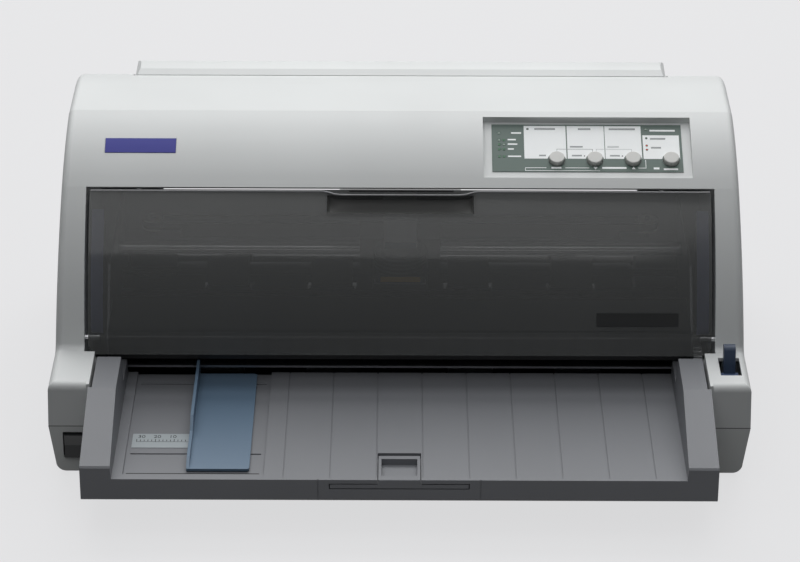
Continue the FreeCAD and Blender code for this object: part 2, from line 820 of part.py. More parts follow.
def make_upper_case():
    """The shell with the shoulders, the window opening, the key panel and the rear hatch opening."""
    block = case_block(ZERO, SEAM_Z)
    footed = rounded(block, FOOT_COVE, is_foot_edge)
    outer = rounded(footed, FACE_ROUND, is_face_edge)
    inner = case_block(WALL, SEAM_Z - OVERRUN)
    shell = cut(outer, inner)
    walls = [
        well_wall(WINDOW_HALF, WINDOW_HALF + WELL_WALL),
        well_wall(-WINDOW_HALF - WELL_WALL, -WINDOW_HALF),
    ]
    hatch_half = HATCH_HALF + HATCH_GAP
    rear_y = CASE_REAR_Y + OVERRUN
    for side in SIDES:
        ends = span(hatch_half, hatch_half + HATCH_WALL, side)
        rib = box(*ends, HATCH_FRONT_Y - HATCH_WALL, CASE_REAR_Y, HATCH_FLOOR_Z, CASE_TOP_Z)
        walls.append(common(rib, case_block(WALL / 2, SEAM_Z)))
        ends = span(BAY_HALF, BAY_HALF + WELL_WALL, side)
        cheek = box(*ends, CASE_FRONT_Y, FACE_FOOT_Y + RELIEF_RUN, SEAM_Z + SEAT_GAP, SHOULDER_Z)
        walls.append(common(cheek, case_block(ZERO, SEAM_Z)))
        ends = span(BOSS_X - BOSS_RADIUS, CASE_HALF - WALL / 2, side)
        for y in (BOSS_FRONT_Y, BOSS_REAR_Y):
            walls.append(box(*ends, y - BOSS_RADIUS, y + BOSS_RADIUS, SEAM_Z, BOSS_TOP_Z))
    walls.append(common(panel_recess(WALL), case_block(WALL / 2, SEAM_Z)))
    walls.extend(board_ribs())
    whole = fuse([shell] + walls)
    bay_half = BAY_HALF
    bay_rear_y = FACE_FOOT_Y + OVERRUN
    bay = box(-bay_half, bay_half, CASE_FRONT_Y - OVERRUN, bay_rear_y, SEAM_Z - OVERRUN, SHOULDER_Z + WALL)
    hatch = box(-hatch_half, hatch_half, HATCH_FRONT_Y, rear_y, HATCH_FLOOR_Z, CASE_TOP_Z + OVERRUN)
    mouth_half = REAR_MOUTH_HALF
    mouth_top = HATCH_FLOOR_Z + WALL
    mouth = box(-mouth_half, mouth_half, CASE_REAR_Y - OVERRUN, rear_y, REAR_MOUTH_LOW_Z, mouth_top)
    opened = cut(whole, [bay, window_cutter(), hatch, mouth])
    tools = []
    for x, y in BOSS_PLACES:
        bore_top = SCREW_END_Z + SEAT_GAP
        tools.append(rod("z", SEAM_Z - OVERRUN, bore_top, SCREW_RADIUS + PIVOT_GAP, x=x, y=y))
    tools.append(panel_recess(ZERO))
    tools.append(band_strip(*BADGE_X, BADGE_LOW, BADGE_HIGH, BADGE_DEPTH))
    tools.extend(face_holes())
    tools.append(box(*LEVER_SLOT_X, *LEVER_SLOT_Y, SHOULDER_Z - OVERRUN, SHOULDER_Z + WALL))
    bore_end = CASE_HALF - WALL - WALL
    tools.append(rod("x", -bore_end, bore_end, PIVOT_RADIUS + PIVOT_GAP, y=PIVOT_Y, z=PIVOT_Z))
    hinge_bore = HATCH_PIVOT_RADIUS + PIVOT_GAP
    tools.append(rod("x", -HATCH_PIN_END, HATCH_PIN_END, hinge_bore, y=HATCH_PIVOT_Y, z=HATCH_PIVOT_Z))
    return piece(cut(opened, tools), "upper_case")


def is_foot_edge(low, high):
    """The long inner edge where the face rises from the shoulders."""
    return across(low, high) and near(low.z, SHOULDER_Z) and near(low.y, FACE_FOOT_Y)


def is_face_edge(low, high):
    """An outer edge where the face, the shoulders, the top or the rear meet the case's sides."""
    one_side = low.x * high.x > 0
    rear_corner = one_side and near(high.y, CASE_REAR_Y) and near(low.z, SEAM_Z)
    rises = high.z - low.z > number(WALL)
    raised = high.z > number(SHOULDER_Z) - number(WALL) and low.z > number(SEAM_Z) + number(WALL)
    runs_back = high.y - low.y > number(WALL)
    shoulder_edge = across(low, high) and near(low.z, SHOULDER_Z) and near(low.y, CASE_FRONT_Y)
    return (one_side and raised and runs_back) or shoulder_edge or (rear_corner and rises)


upper_case = make_upper_case()


# Front sheet guide
GUIDE_FRONT_Y = size("guide_front_y", -185)
GUIDE_REAR_Y = size("guide_rear_y", -37)
GUIDE_LAP = size("guide_lap", 0.6)
GUIDE_SIDE_GAP = size("guide_side_gap", 2)
GUIDE_HALF = BAY_HALF + GUIDE_LAP
GUIDE_NARROW_HALF = BAY_HALF - GUIDE_SIDE_GAP
GUIDE_BASE_Z = size("guide_base_z", 24.8)
GUIDE_TOP_Z = size("guide_top_z", 41.7)
GUIDE_SKIN = size("guide_skin", 4.4)
GUIDE_SKIRT = size("guide_skirt", 3)
RAIL_WIDTH = size("rail_width", 21.6)
RAIL_HALF = GUIDE_HALF - RAIL_WIDTH
RAIL_LEAN = size("rail_inner_lean", 2.5)
RAIL_FRONT_Z = size("rail_front_z", 51)
RAIL_TOP_Z = size("rail_top_z", 70.5)
RAIL_FLAT_Y = size("rail_flat_y", -112)
RAIL_END_Y = size("rail_end_y", -68)
RAIL_TAIL_Z = size("rail_tail_z", 52)
RAIL_NOSE = size("rail_nose", 1.2)
GROOVE_FIRST_X = size("groove_first_x", -77)
GROOVE_PITCH = size("groove_pitch", 30.9)
GROOVES = 9
GROOVE_WIDTH = size("groove_width", 0.9)
GROOVE_DEPTH = size("groove_depth", 0.8)
TRAY_LEFT_X = size("tray_left_x", -184)
TRAY_RIGHT_X = size("tray_right_x", -90)
TRAY_FRONT_Y = size("tray_front_y", -178)
TRAY_DEPTH = size("tray_depth", 2)
TRAY_SLOT_Y = size("tray_slot_y", -175.5)
TRAY_SLOT_WIDTH = size("tray_slot_width", 1.6)
TRAY_SLOT_MARGIN = size("tray_slot_margin", 3)
TRAY_LINE_Y = size("tray_line_y", -149)
TRAY_STEP_Y = size("tray_step_y", -52)
CASE_CLEARANCE = size("case_clearance", 1.5)

# Pull-out extension under the sheet guide
TAB_HALF = size("tab_half_width", 13.9)
TAB_REAR_Y = size("tab_rear_y", -153.2)
TAB_REAR_GAP = size("tab_rear_gap", 3.7)
BAR_HALF = size("bar_half_width", 46)
BAR_LOW_Z = size("bar_low_z", 35.3)
BAR_DEPTH = size("bar_depth", 12)
TONGUE_REAR_Y = size("tongue_rear_y", -64)
TONGUE_SKIN = size("tongue_skin", 2.9)
TONGUE_THICK = size("tongue_thick", 2.4)
TONGUE_HALF = size("tongue_half_width", 40)
TAB_GAP = size("tab_gap", 0.7)
RUNNER_WALL = size("runner_wall", 2)
RUNNER_LIP = size("runner_lip", 4)
FINGER_HALF = size("finger_half_width", 12)
FINGER_FRONT_Y = size("finger_front_y", -179.5)
FINGER_REAR_Y = size("finger_rear_y", -157.2)
FINGER_DEPTH = size("finger_depth", 4.5)
MARK_HALF = size("front_mark_half", 54)
MARK_DEPTH = size("front_mark_depth", 0.6)


def rail(side, half, front_y, rear_y):
    """One side rail of the sheet guide, with its inner face leaning outwards."""
    low_x, high_x = RAIL_HALF, half
    section = [
        (low_x, GUIDE_BASE_Z),
        (high_x, GUIDE_BASE_Z),
        (high_x, RAIL_TOP_Z),
        (low_x + RAIL_LEAN, RAIL_TOP_Z),
    ]
    if side < 0:
        section = [(-x, z) for x, z in section]
    block = prism("y", front_y, rear_y, section)
    outline = [
        (GUIDE_FRONT_Y, GUIDE_BASE_Z),
        (GUIDE_REAR_Y, GUIDE_BASE_Z),
        (GUIDE_REAR_Y, RAIL_TAIL_Z),
        (RAIL_END_Y, RAIL_TAIL_Z),
        (RAIL_END_Y, RAIL_TOP_Z),
        (RAIL_FLAT_Y, RAIL_TOP_Z),
        (GUIDE_FRONT_Y + RAIL_NOSE, RAIL_FRONT_Z),
        (GUIDE_FRONT_Y, RAIL_FRONT_Z - RAIL_NOSE),
    ]
    return common(block, prism("x", -GUIDE_HALF, GUIDE_HALF, outline))


def make_sheet_guide():
    """The flat shelf with its two rising rails, grooved across and recessed at the left."""
    split_y = CASE_FRONT_Y - CASE_CLEARANCE
    top_low = GUIDE_TOP_Z - GUIDE_SKIN
    narrow = GUIDE_NARROW_HALF
    shapes = [box(-GUIDE_HALF, GUIDE_HALF, GUIDE_FRONT_Y, split_y, GUIDE_BASE_Z, GUIDE_TOP_Z)]
    shapes.append(box(-narrow, narrow, split_y, GUIDE_REAR_Y, GUIDE_BASE_Z, GUIDE_TOP_Z))
    for side in SIDES:
        shapes.append(rail(side, GUIDE_HALF, GUIDE_FRONT_Y, split_y))
        shapes.append(rail(side, narrow, split_y, GUIDE_REAR_Y))
    solid = rounded(fuse(shapes), GUIDE_SKIRT, is_guide_front)
    inner_half = narrow - GUIDE_SKIRT
    middle_half = BAR_HALF + TAB_GAP + RUNNER_WALL
    tongue_half = BAR_HALF + TAB_GAP
    rear_y = GUIDE_REAR_Y + OVERRUN
    hollow_front_y = GUIDE_FRONT_Y + GUIDE_SKIRT
    over_y, over_z, under_z = GUIDE_FRONT_Y - OVERRUN, GUIDE_TOP_Z + OVERRUN, GUIDE_BASE_Z - OVERRUN
    tools = []
    for low_x, high_x in ((-inner_half, -middle_half), (middle_half, inner_half)):
        tools.append(box(low_x, high_x, hollow_front_y, rear_y, under_z, top_low))
    tongue_top = GUIDE_TOP_Z - TONGUE_SKIN
    tools.append(box(-tongue_half, tongue_half, over_y, rear_y, BAR_LOW_Z - TAB_GAP, tongue_top))
    lip_half = tongue_half - RUNNER_LIP
    tools.append(box(-lip_half, lip_half, hollow_front_y, rear_y, under_z, top_low))
    tab_half = TAB_HALF + TAB_GAP
    notch_y = TAB_REAR_Y + TAB_REAR_GAP
    tools.append(box(-tab_half, tab_half, over_y, notch_y, tongue_top - TAB_GAP, over_z))
    tray_floor = GUIDE_TOP_Z - TRAY_DEPTH
    tools.append(box(TRAY_LEFT_X, TRAY_RIGHT_X, TRAY_FRONT_Y, rear_y, tray_floor, over_z))
    slot_left, slot_right = TRAY_LEFT_X + TRAY_SLOT_MARGIN, TRAY_RIGHT_X - TRAY_SLOT_MARGIN
    for line_y in (TRAY_SLOT_Y, TRAY_LINE_Y, TRAY_STEP_Y):
        low_z = tray_floor - GROOVE_DEPTH
        tools.append(box(slot_left, slot_right, line_y, line_y + TRAY_SLOT_WIDTH, low_z, over_z))
    for index in range(GROOVES):
        low_x = GROOVE_FIRST_X + GROOVE_PITCH * index - GROOVE_WIDTH / 2
        groove_z = GUIDE_TOP_Z - GROOVE_DEPTH
        tools.append(box(low_x, low_x + GROOVE_WIDTH, hollow_front_y, rear_y, groove_z, over_z))
    for side in SIDES:
        low_x = MARK_HALF * side - GROOVE_WIDTH / 2
        mark_y = GUIDE_FRONT_Y + MARK_DEPTH
        tools.append(box(low_x, low_x + GROOVE_WIDTH, over_y, mark_y, under_z, over_z))
    return piece(cut(solid, tools), "front_sheet_guide")


def is_guide_front(low, high):
    """The long lower front edge of the sheet guide."""
    return across(low, high) and near(low.z, GUIDE_BASE_Z) and near(low.y, GUIDE_FRONT_Y)


def make_extension():
    """The tongue that draws out of the shelf's front by its finger tab."""
    body = new_body("sheet_extension")
    top_low = GUIDE_TOP_Z - TONGUE_SKIN - TAB_GAP
    bar = rectangle(-BAR_HALF, GUIDE_FRONT_Y, BAR_HALF, GUIDE_FRONT_Y + BAR_DEPTH)
    pad(body, "z", BAR_LOW_Z, top_low, bar)
    tongue = rectangle(-TONGUE_HALF, GUIDE_FRONT_Y, TONGUE_HALF, TONGUE_REAR_Y)
    pad(body, "z", top_low - TONGUE_THICK, top_low, tongue)
    foot_y = TONGUE_REAR_Y - BAR_DEPTH
    pad(body, "z", BAR_LOW_Z, top_low, rectangle(-BAR_HALF, foot_y, BAR_HALF, TONGUE_REAR_Y))
    pad(body, "z", top_low, GUIDE_TOP_Z, rectangle(-TAB_HALF, GUIDE_FRONT_Y, TAB_HALF, TAB_REAR_Y))
    finger = rectangle(-FINGER_HALF, FINGER_FRONT_Y, FINGER_HALF, FINGER_REAR_Y)
    pocket(body, "z", GUIDE_TOP_Z - FINGER_DEPTH, GUIDE_TOP_Z + OVERRUN, finger)
    soften(body, GROOVE_DEPTH, is_tab_front)
    return piece(body, "sheet_extension")


def is_tab_front(low, high):
    """The upper front edge of the finger tab."""
    return across(low, high) and near(low.y, GUIDE_FRONT_Y) and near(low.z, GUIDE_TOP_Z)


sheet_guide = make_sheet_guide()
extension = make_extension()

# Movable edge guide and the scale in the tray
EDGE_LEFT_X = size("edge_guide_left_x", -142)
EDGE_RIGHT_X = size("edge_guide_right_x", -100)
EDGE_FRONT_Y = size("edge_guide_front_y", -172)
EDGE_REAR_Y = size("edge_guide_rear_y", -40)
EDGE_THICK = size("edge_guide_thick", 1.8)
EDGE_LIFT = size("edge_guide_lift", 0.7)
FENCE_THICK = size("fence_thick", 2)
FENCE_LOW_Z = size("fence_low_top_z", 46)
FENCE_HIGH_Z = size("fence_high_top_z", 53)
FENCE_STEP_Y = size("fence_step_y", -128)
FENCE_RAMP = size("fence_ramp", 10)
EDGE_ROUND = size("edge_guide_round", 2)
SCALE_X = (size("scale_left_x", -181), size("scale_right_x", -93))
SCALE_Y = (size("scale_front_y", -144), size("scale_rear_y", -125))
SCALE_THICK = size("scale_thick", 0.4)


def make_edge_guide():
    """The blue plate with the fence that the sheet's left edge runs along."""
    body = new_body("edge_guide")
    low_z = GUIDE_TOP_Z - TRAY_DEPTH + EDGE_LIFT
    plate = rectangle(EDGE_LEFT_X, EDGE_FRONT_Y, EDGE_RIGHT_X, EDGE_REAR_Y)
    pad(body, "z", low_z, low_z + EDGE_THICK, plate)
    fence = [
        (EDGE_FRONT_Y, low_z),
        (EDGE_REAR_Y, low_z),
        (EDGE_REAR_Y, FENCE_HIGH_Z),
        (FENCE_STEP_Y + FENCE_RAMP, FENCE_HIGH_Z),
        (FENCE_STEP_Y, FENCE_LOW_Z),
        (EDGE_FRONT_Y + FENCE_RAMP, FENCE_LOW_Z),
        (EDGE_FRONT_Y, low_z + EDGE_THICK),
    ]
    pad(body, "x", EDGE_LEFT_X, EDGE_LEFT_X + FENCE_THICK, fence)
    soften(body, EDGE_ROUND, lambda low, high: upright(low, high) and near(low.x, EDGE_RIGHT_X))
    return piece(body, "edge_guide")


def make_scale():
    """The thin printed strip on the tray floor."""
    floor = GUIDE_TOP_Z - TRAY_DEPTH
    strip = box(*SCALE_X, *SCALE_Y, floor, floor + SCALE_THICK, "ScaleStrip")
    return piece(strip, "scale_label")


edge_guide = make_edge_guide()
scale_label = make_scale()

# Smoke window that folds down over the shelf
COVER_THICK = size("cover_thick", 2.5)
COVER_FOOT_SLOPE = size("cover_foot_slope", 75.6)
COVER_TOP_SLOPE = size("cover_top_slope", 44)
COVER_CORNER = size("cover_corner", 7)
RIB_PITCH = size("cover_rib_pitch", 15.2)
RIB_WIDTH = size("cover_rib_width", 0.7)
RIB_DEPTH = size("cover_rib_depth", 0.6)
RIB_TOP_SLOPE = size("cover_rib_top_slope", 71)
RIBS = 27
SCOOP_HALF = size("scoop_half_width", 51)
SCOOP_LENGTH = size("scoop_length", 13)
SCOOP_DEPTH = size("scoop_depth", 9)
SCOOP_WALL = size("scoop_wall", 2)
SCOOP_LIP = size("scoop_lip", 4)
LIP_PROUD = size("lip_proud", 2.2)
LIP_HALF = size("lip_half_width", 42)
NAME_X = (size("name_left_x", 136), size("name_right_x", 193))
NAME_SLOPES = (size("name_low_slope", 70), size("name_high_slope", 67.4))
NAME_DEPTH = size("name_recess_depth", 0.6)
LUG_RADIUS = size("cover_lug_radius", 3.6)
LUG_WIDTH = size("cover_lug_width", 8)


def window_slope(distance, start):
    """Slope of the window after walking that far up it from where it has the start slope."""
    return arc_slope(distance, WINDOW_RADIUS, start)


def make_front_cover():
    """The curved smoke window with its finger scoop, its lip, its ribbed foot and its pivot lugs."""
    plate = window_strip(-COVER_HALF, COVER_HALF, COVER_FOOT_SLOPE, COVER_TOP_SLOPE, COVER_THICK, ZERO)
    scoop_foot = window_slope(-(SCOOP_LENGTH + SCOOP_LIP), COVER_TOP_SLOPE)
    scoop_head = window_slope(-SCOOP_LIP, COVER_TOP_SLOPE)
    outer_foot = window_slope(-(SCOOP_LENGTH + SCOOP_LIP + SCOOP_WALL), COVER_TOP_SLOPE)
    cup_half, cup_depth = SCOOP_HALF + SCOOP_WALL, SCOOP_DEPTH + SCOOP_WALL
    cup_outer = window_strip(-cup_half, cup_half, outer_foot, COVER_TOP_SLOPE, cup_depth, ZERO)
    lip = window_strip(-LIP_HALF, LIP_HALF, scoop_head, COVER_TOP_SLOPE, COVER_THICK, LIP_PROUD)
    lugs = []
    for side in SIDES:
        ends = span(COVER_HALF - LUG_WIDTH, COVER_HALF, side)
        lugs.append(rod("x", *ends, LUG_RADIUS, y=PIVOT_Y, z=PIVOT_Z))
    whole = fuse([plate, cup_outer, lip] + lugs)
    scoop = window_strip(-SCOOP_HALF, SCOOP_HALF, scoop_foot, scoop_head, SCOOP_DEPTH, OVERRUN)
    tools = [scoop]
    first_x = -RIB_PITCH * (RIBS - 1) / 2
    for index in range(RIBS):
        low_x = first_x + RIB_PITCH * index - RIB_WIDTH / 2
        high_x = low_x + RIB_WIDTH
        tools.append(window_strip(low_x, high_x, COVER_FOOT_SLOPE, RIB_TOP_SLOPE, RIB_DEPTH, OVERRUN))
    line_top = window_slope(RIB_WIDTH, RIB_TOP_SLOPE)
    tools.append(window_strip(-COVER_HALF, COVER_HALF, RIB_TOP_SLOPE, line_top, RIB_DEPTH, OVERRUN))
    tools.append(window_strip(*NAME_X, *NAME_SLOPES, NAME_DEPTH, OVERRUN))
    bore = rod("x", -COVER_HALF - OVERRUN, COVER_HALF + OVERRUN, PIVOT_RADIUS, y=PIVOT_Y, z=PIVOT_Z)
    corners = []
    for side in SIDES:
        corners.append(corner_cutter(side))
    return piece(cut(whole, tools + corners + [bore]), "front_cover")


def corner_cutter(side):
    """What rounds one lower corner of the window, as seen from the front."""
    inner_x = (COVER_HALF - COVER_CORNER) * side
    low_z = on_window(COVER_FOOT_SLOPE)[1]
    centre_z = low_z + COVER_CORNER
    front_y, rear_y = FACE_FOOT_Y - OVERRUN, PIVOT_Y - LUG_RADIUS
    ends = span(COVER_HALF - COVER_CORNER, COVER_HALF + OVERRUN, side)
    square = box(*ends, front_y, rear_y, low_z - OVERRUN, centre_z)
    return cut(square, rod("y", front_y, rear_y, COVER_CORNER, x=inner_x, z=centre_z))


def window_pins():
    """The two steel pins that the window turns on."""
    pins = []
    for side in SIDES:
        ends = span(COVER_HALF - LUG_WIDTH, WINDOW_HALF + WELL_WALL, side)
        pins.append(rod("x", *ends, PIVOT_RADIUS, y=PIVOT_Y, z=PIVOT_Z))
    return pins


front_cover = make_front_cover()


# Rear hatch over the tractor feed
HATCH_TOP_HALF = size("hatch_top_half_width", 189.8)
HATCH_FOOT_DROP = size("hatch_foot_drop", 2.4)
HATCH_CREST_Y = size("hatch_crest_y", 133)
HATCH_THICK = size("hatch_thick", 2.5)
HATCH_CURVE = size("hatch_curve_radius", 46.7)
HATCH_REAR_GAP = size("hatch_rear_gap", 0.6)
HATCH_HEEL_GAP = size("hatch_heel_gap", 2.5)
HATCH_SKIRT = size("hatch_front_skirt", 7)
HATCH_LUG = size("hatch_lug_radius", 2.8)


def hatch_path(depth):
    """Outline of the hatch's skin from its front foot over the top to its rear edge."""
    front_y = HATCH_FRONT_Y + HATCH_GAP + depth
    rear_y = CASE_REAR_Y - HATCH_REAR_GAP - depth
    top_z = CASE_TOP_Z - depth
    bend = HATCH_CURVE - depth
    return [
        (front_y, CASE_TOP_Z - HATCH_SKIRT),
        (front_y, top_z - HATCH_FOOT_DROP),
        (HATCH_CREST_Y, top_z),
        (rear_y - bend, top_z, -bend),
        (rear_y, top_z - bend),
        (rear_y, HATCH_FLOOR_Z + HATCH_HEEL_GAP),
    ]


def backwards(path):
    """The same outline walked the other way."""
    turned = []
    for index in range(len(path) - 1, -1, -1):
        bend = path[index - 1][2] if index > 0 and len(path[index - 1]) == 3 else None
        here = path[index][:2]
        turned.append(here if bend is None else (*here, -bend))
    return turned


def make_hatch():
    """The lid over the rear feed, with its two cheeks and the pivot lugs at its heel."""
    skin = prism("x", -HATCH_HALF, HATCH_HALF, hatch_path(ZERO) + backwards(hatch_path(HATCH_THICK)))
    cheeks = []
    for side in SIDES:
        ends = span(HATCH_HALF - HATCH_THICK, HATCH_HALF, side)
        cheeks.append(prism("x", *ends, hatch_path(ZERO)))
        cheeks.append(rod("x", *ends, HATCH_LUG, y=HATCH_PIVOT_Y, z=HATCH_PIVOT_Z))
    low, high = HATCH_HALF, HATCH_TOP_HALF
    base_z, bend_z = HATCH_FLOOR_Z, CASE_TOP_Z - HATCH_SKIRT
    section = [
        (-low, base_z),
        (low, base_z),
        (low, bend_z),
        (high, CASE_TOP_Z),
        (-high, CASE_TOP_Z),
        (-low, bend_z),
    ]
    body = common(fuse([skin] + cheeks), prism("y", HATCH_FRONT_Y, CASE_REAR_Y, section))
    pins = rod("x", -HATCH_PIN_END, HATCH_PIN_END, HATCH_PIVOT_RADIUS, y=HATCH_PIVOT_Y, z=HATCH_PIVOT_Z)
    return piece(cut(body, pins), "rear_hatch")


def make_hinge_pins():
    """The steel pins of the window and of the hatch, two each."""
    pins = []
    for side in SIDES:
        ends = span(HATCH_HALF - HATCH_THICK, HATCH_PIN_END, side)
        pins.append(rod("x", *ends, HATCH_PIVOT_RADIUS, y=HATCH_PIVOT_Y, z=HATCH_PIVOT_Z))
    return group("hinge_pins", pins + window_pins())


rear_hatch = make_hatch()
hinge_pins = make_hinge_pins()

# Key panel
SEAT = size("seat", 0.05)
LABEL_SIDE = size("label_side_margin", 6.2)
LABEL_FOOT = size("label_foot_margin", 5.8)
LABEL_HEAD = size("label_head_margin", 2.4)
LABEL_THICK = size("label_thick", 0.5)
KEY_PROUD = size("key_proud", 4)
KEY_INNER = size("key_inner_depth", 5)
KEY_FLANGE = size("key_flange", 1.2)
KEY_FLANGE_THICK = size("key_flange_thick", 1)
KEY_TOP_ROUND = size("key_top_round", 0.8)
KEY_TRAVEL = size("key_travel", 1.2)
SWITCH_RADIUS = size("dome_switch_radius", 3)
LED_PROUD = size("led_proud", 0.15)


def make_panel_label():
    """The thin plate on the panel floor, with a hole for each key and each lamp."""
    x_ends = (PANEL_LEFT_X + LABEL_SIDE, PANEL_RIGHT_X - LABEL_SIDE)
    plate = panel_slab(x_ends, (LABEL_FOOT, PANEL_LENGTH - LABEL_HEAD), -SEAT, -LABEL_THICK)
    return piece(cut(plate, face_holes()), "panel_label")


def make_key(index):
    """One round key with the flange that holds it in from behind."""
    x = key_x(index)
    stem = square_to_panel(KEY_UP, x, -KEY_INNER, KEY_PROUD, KEY_RADIUS)
    flange_top = WALL + SEAT_GAP
    flange_radius = KEY_RADIUS + KEY_GAP + KEY_FLANGE
    flange = square_to_panel(KEY_UP, x, -flange_top - KEY_FLANGE_THICK, -flange_top, flange_radius)
    head = rounded(stem, KEY_TOP_ROUND, is_key_top)
    return piece(fuse([head, flange]), f"key_{index + 1}")


def is_key_top(low, high):
    """The rim at the outer end of a key."""
    wide = high.x - low.x > number(KEY_RADIUS)
    middle_z = on_panel(KEY_UP, -(KEY_PROUD / 2))[1]
    return wide and low.z > number(middle_z - KEY_RADIUS)


def make_panel_board():
    """The circuit board behind the panel, with a small switch under each key."""
    x_ends = (PANEL_LEFT_X, PANEL_RIGHT_X)
    board = panel_slab(x_ends, (BOARD_FOOT, BOARD_HEAD), BOARD_DEPTH + BOARD_THICK, BOARD_DEPTH)
    top = KEY_INNER + KEY_TRAVEL + SEAT_GAP
    places = [key_x(index) for index in range(KEYS)]
    switches = [square_to_panel(KEY_UP, x, -BOARD_DEPTH, -top, SWITCH_RADIUS) for x in places]
    return piece(fuse([board] + switches), "panel_board")


def make_led_lenses():
    """The lamp lenses that show through the label."""
    lenses = []
    top = LABEL_THICK + LED_PROUD
    for shares in LED_SHARES:
        x, up = led_place(shares)
        lenses.append(square_to_panel(up, x, -(WALL + SEAT_GAP), top, LED_RADIUS))
    return group("led_lenses", lenses)


def make_badge():
    """The bare plate in the badge recess."""
    gap = SEAT_GAP
    left_x, right_x = BADGE_X
    low, high = BADGE_LOW + gap, BADGE_HIGH - gap
    plate = band_strip(left_x + gap, right_x - gap, low, high, BADGE_DEPTH - SEAT, SEAT_GAP)
    return piece(plate, "badge_plate")


panel_label = make_panel_label()
keys = [make_key(index) for index in range(KEYS)]
panel_board = make_panel_board()
led_lenses = make_led_lenses()
badge_plate = make_badge()


# Release lever on the right shoulder
LEVER_SIDE_GAP = size("lever_side_gap", 3.2)
LEVER_WIDTH = size("lever_width", 8)
LEVER_HIGH_X = LEVER_SLOT_X[1] - LEVER_SIDE_GAP
LEVER_LOW_X = LEVER_HIGH_X - LEVER_WIDTH
LEVER_PIVOT_Y = size("lever_pivot_y", -82)
LEVER_PIVOT_Z = size("lever_pivot_z", 50)
LEVER_HUB = size("lever_hub_radius", 7)
LEVER_LEAN = size("lever_lean", 9)
LEVER_HALF_THICK = size("lever_half_thick", 4)
LEVER_TOP_Z = size("lever_top_z", 82)
LEVER_TIP = size("lever_tip_radius", 4.8)
LEVER_SHAFT = size("lever_shaft_radius", 2.5)
LEVER_SHAFT_INSET = size("lever_shaft_inset", 3.6)


def make_release_lever():
    """The lever that frees the sheet for the rear feed, leaning back in its slot."""
    body = new_body("release_lever")
    half = LEVER_HALF_THICK
    top_y = LEVER_PIVOT_Y + LEVER_LEAN
    arm = [
        (LEVER_PIVOT_Y - half, LEVER_PIVOT_Z),
        (LEVER_PIVOT_Y + half, LEVER_PIVOT_Z),
        (top_y + half, LEVER_TOP_Z, LEVER_TIP),
        (top_y - half, LEVER_TOP_Z),
    ]
    pad(body, "x", LEVER_LOW_X, LEVER_HIGH_X, arm)
    pad(body, "x", LEVER_LOW_X, LEVER_HIGH_X, None, [(LEVER_PIVOT_Y, LEVER_PIVOT_Z, LEVER_HUB)])
    bore = [(LEVER_PIVOT_Y, LEVER_PIVOT_Z, LEVER_SHAFT + PIVOT_GAP)]
    pocket(body, "x", LEVER_LOW_X - OVERRUN, LEVER_HIGH_X + OVERRUN, None, bore)
    return piece(body, "release_lever")


def make_lever_shaft():
    """The shaft across the right shoulder that the lever turns on."""
    start_x = BAY_HALF + WELL_WALL
    end_x = CASE_HALF - LEVER_SHAFT_INSET
    shaft = rod("x", start_x, end_x, LEVER_SHAFT, y=LEVER_PIVOT_Y, z=LEVER_PIVOT_Z)
    return piece(shaft, "lever_shaft")


# Power switch
ROCKER_PIVOT_Y = size("rocker_pivot_y", -104)
ROCKER_GAP = size("rocker_gap", 1)
ROCKER_FRONT = size("rocker_front", 8.5)
ROCKER_DISH = size("rocker_dish", 2)
ROCKER_BACK = size("rocker_back", 3)
ROCKER_PIN = size("rocker_pin_radius", 1.5)
HOUSING_WALL = size("switch_housing_wall", 1.6)
HOUSING_DEPTH = size("switch_housing_depth", 14)
SWITCH_MID_Z = (SWITCH_LOW_Z + SWITCH_HIGH_Z) / 2


def make_rocker():
    """The dished rocker that stands in the switch housing."""
    body = new_body("power_rocker")
    half = (SWITCH_HIGH_Z - SWITCH_LOW_Z) / 2 - SWITCH_MARGIN - ROCKER_GAP - SEAT_GAP
    front_y = ROCKER_PIVOT_Y - ROCKER_FRONT
    back_y = ROCKER_PIVOT_Y + ROCKER_BACK
    outline = [
        (front_y, SWITCH_MID_Z - half),
        (back_y, SWITCH_MID_Z - half),
        (back_y, SWITCH_MID_Z + half),
        (front_y, SWITCH_MID_Z + half),
        (front_y + ROCKER_DISH, SWITCH_MID_Z),
    ]
    low_x = SWITCH_LOW_X + SWITCH_MARGIN + ROCKER_GAP
    high_x = SWITCH_HIGH_X - SWITCH_MARGIN - ROCKER_GAP
    pad(body, "x", low_x, high_x, outline)
    pin_end = ROCKER_GAP - SEAT_GAP
    pad(body, "x", low_x - pin_end, high_x + pin_end, None, [(ROCKER_PIVOT_Y, SWITCH_MID_Z, ROCKER_PIN)])
    return piece(body, "power_rocker")


def make_switch_housing():
    """The open-fronted box behind the case wall that carries the rocker."""
    body = new_body("switch_housing")
    start_y = CASE_FRONT_Y + WALL
    wall = HOUSING_WALL
    pad(body, "y", start_y, start_y + HOUSING_DEPTH, rectangle(*switch_opening(wall)))
    pocket(body, "y", start_y - wall, start_y + HOUSING_DEPTH - wall, rectangle(*switch_opening(ZERO)))
    return piece(body, "switch_housing")


# Feet
FOOT_RADIUS = size("foot_radius", 9)
FOOT_X = size("foot_x", 200)
FOOT_FRONT_Y = size("foot_front_y", -90)
FOOT_REAR_Y = size("foot_rear_y", 160)


def make_feet():
    """The four rubber feet."""
    feet = []
    for x in (-FOOT_X, FOOT_X):
        for y in (FOOT_FRONT_Y, FOOT_REAR_Y):
            feet.append(rod("z", ZERO, CASE_FLOOR_Z, FOOT_RADIUS, x=x, y=y))
    return group("rubber_feet", feet)


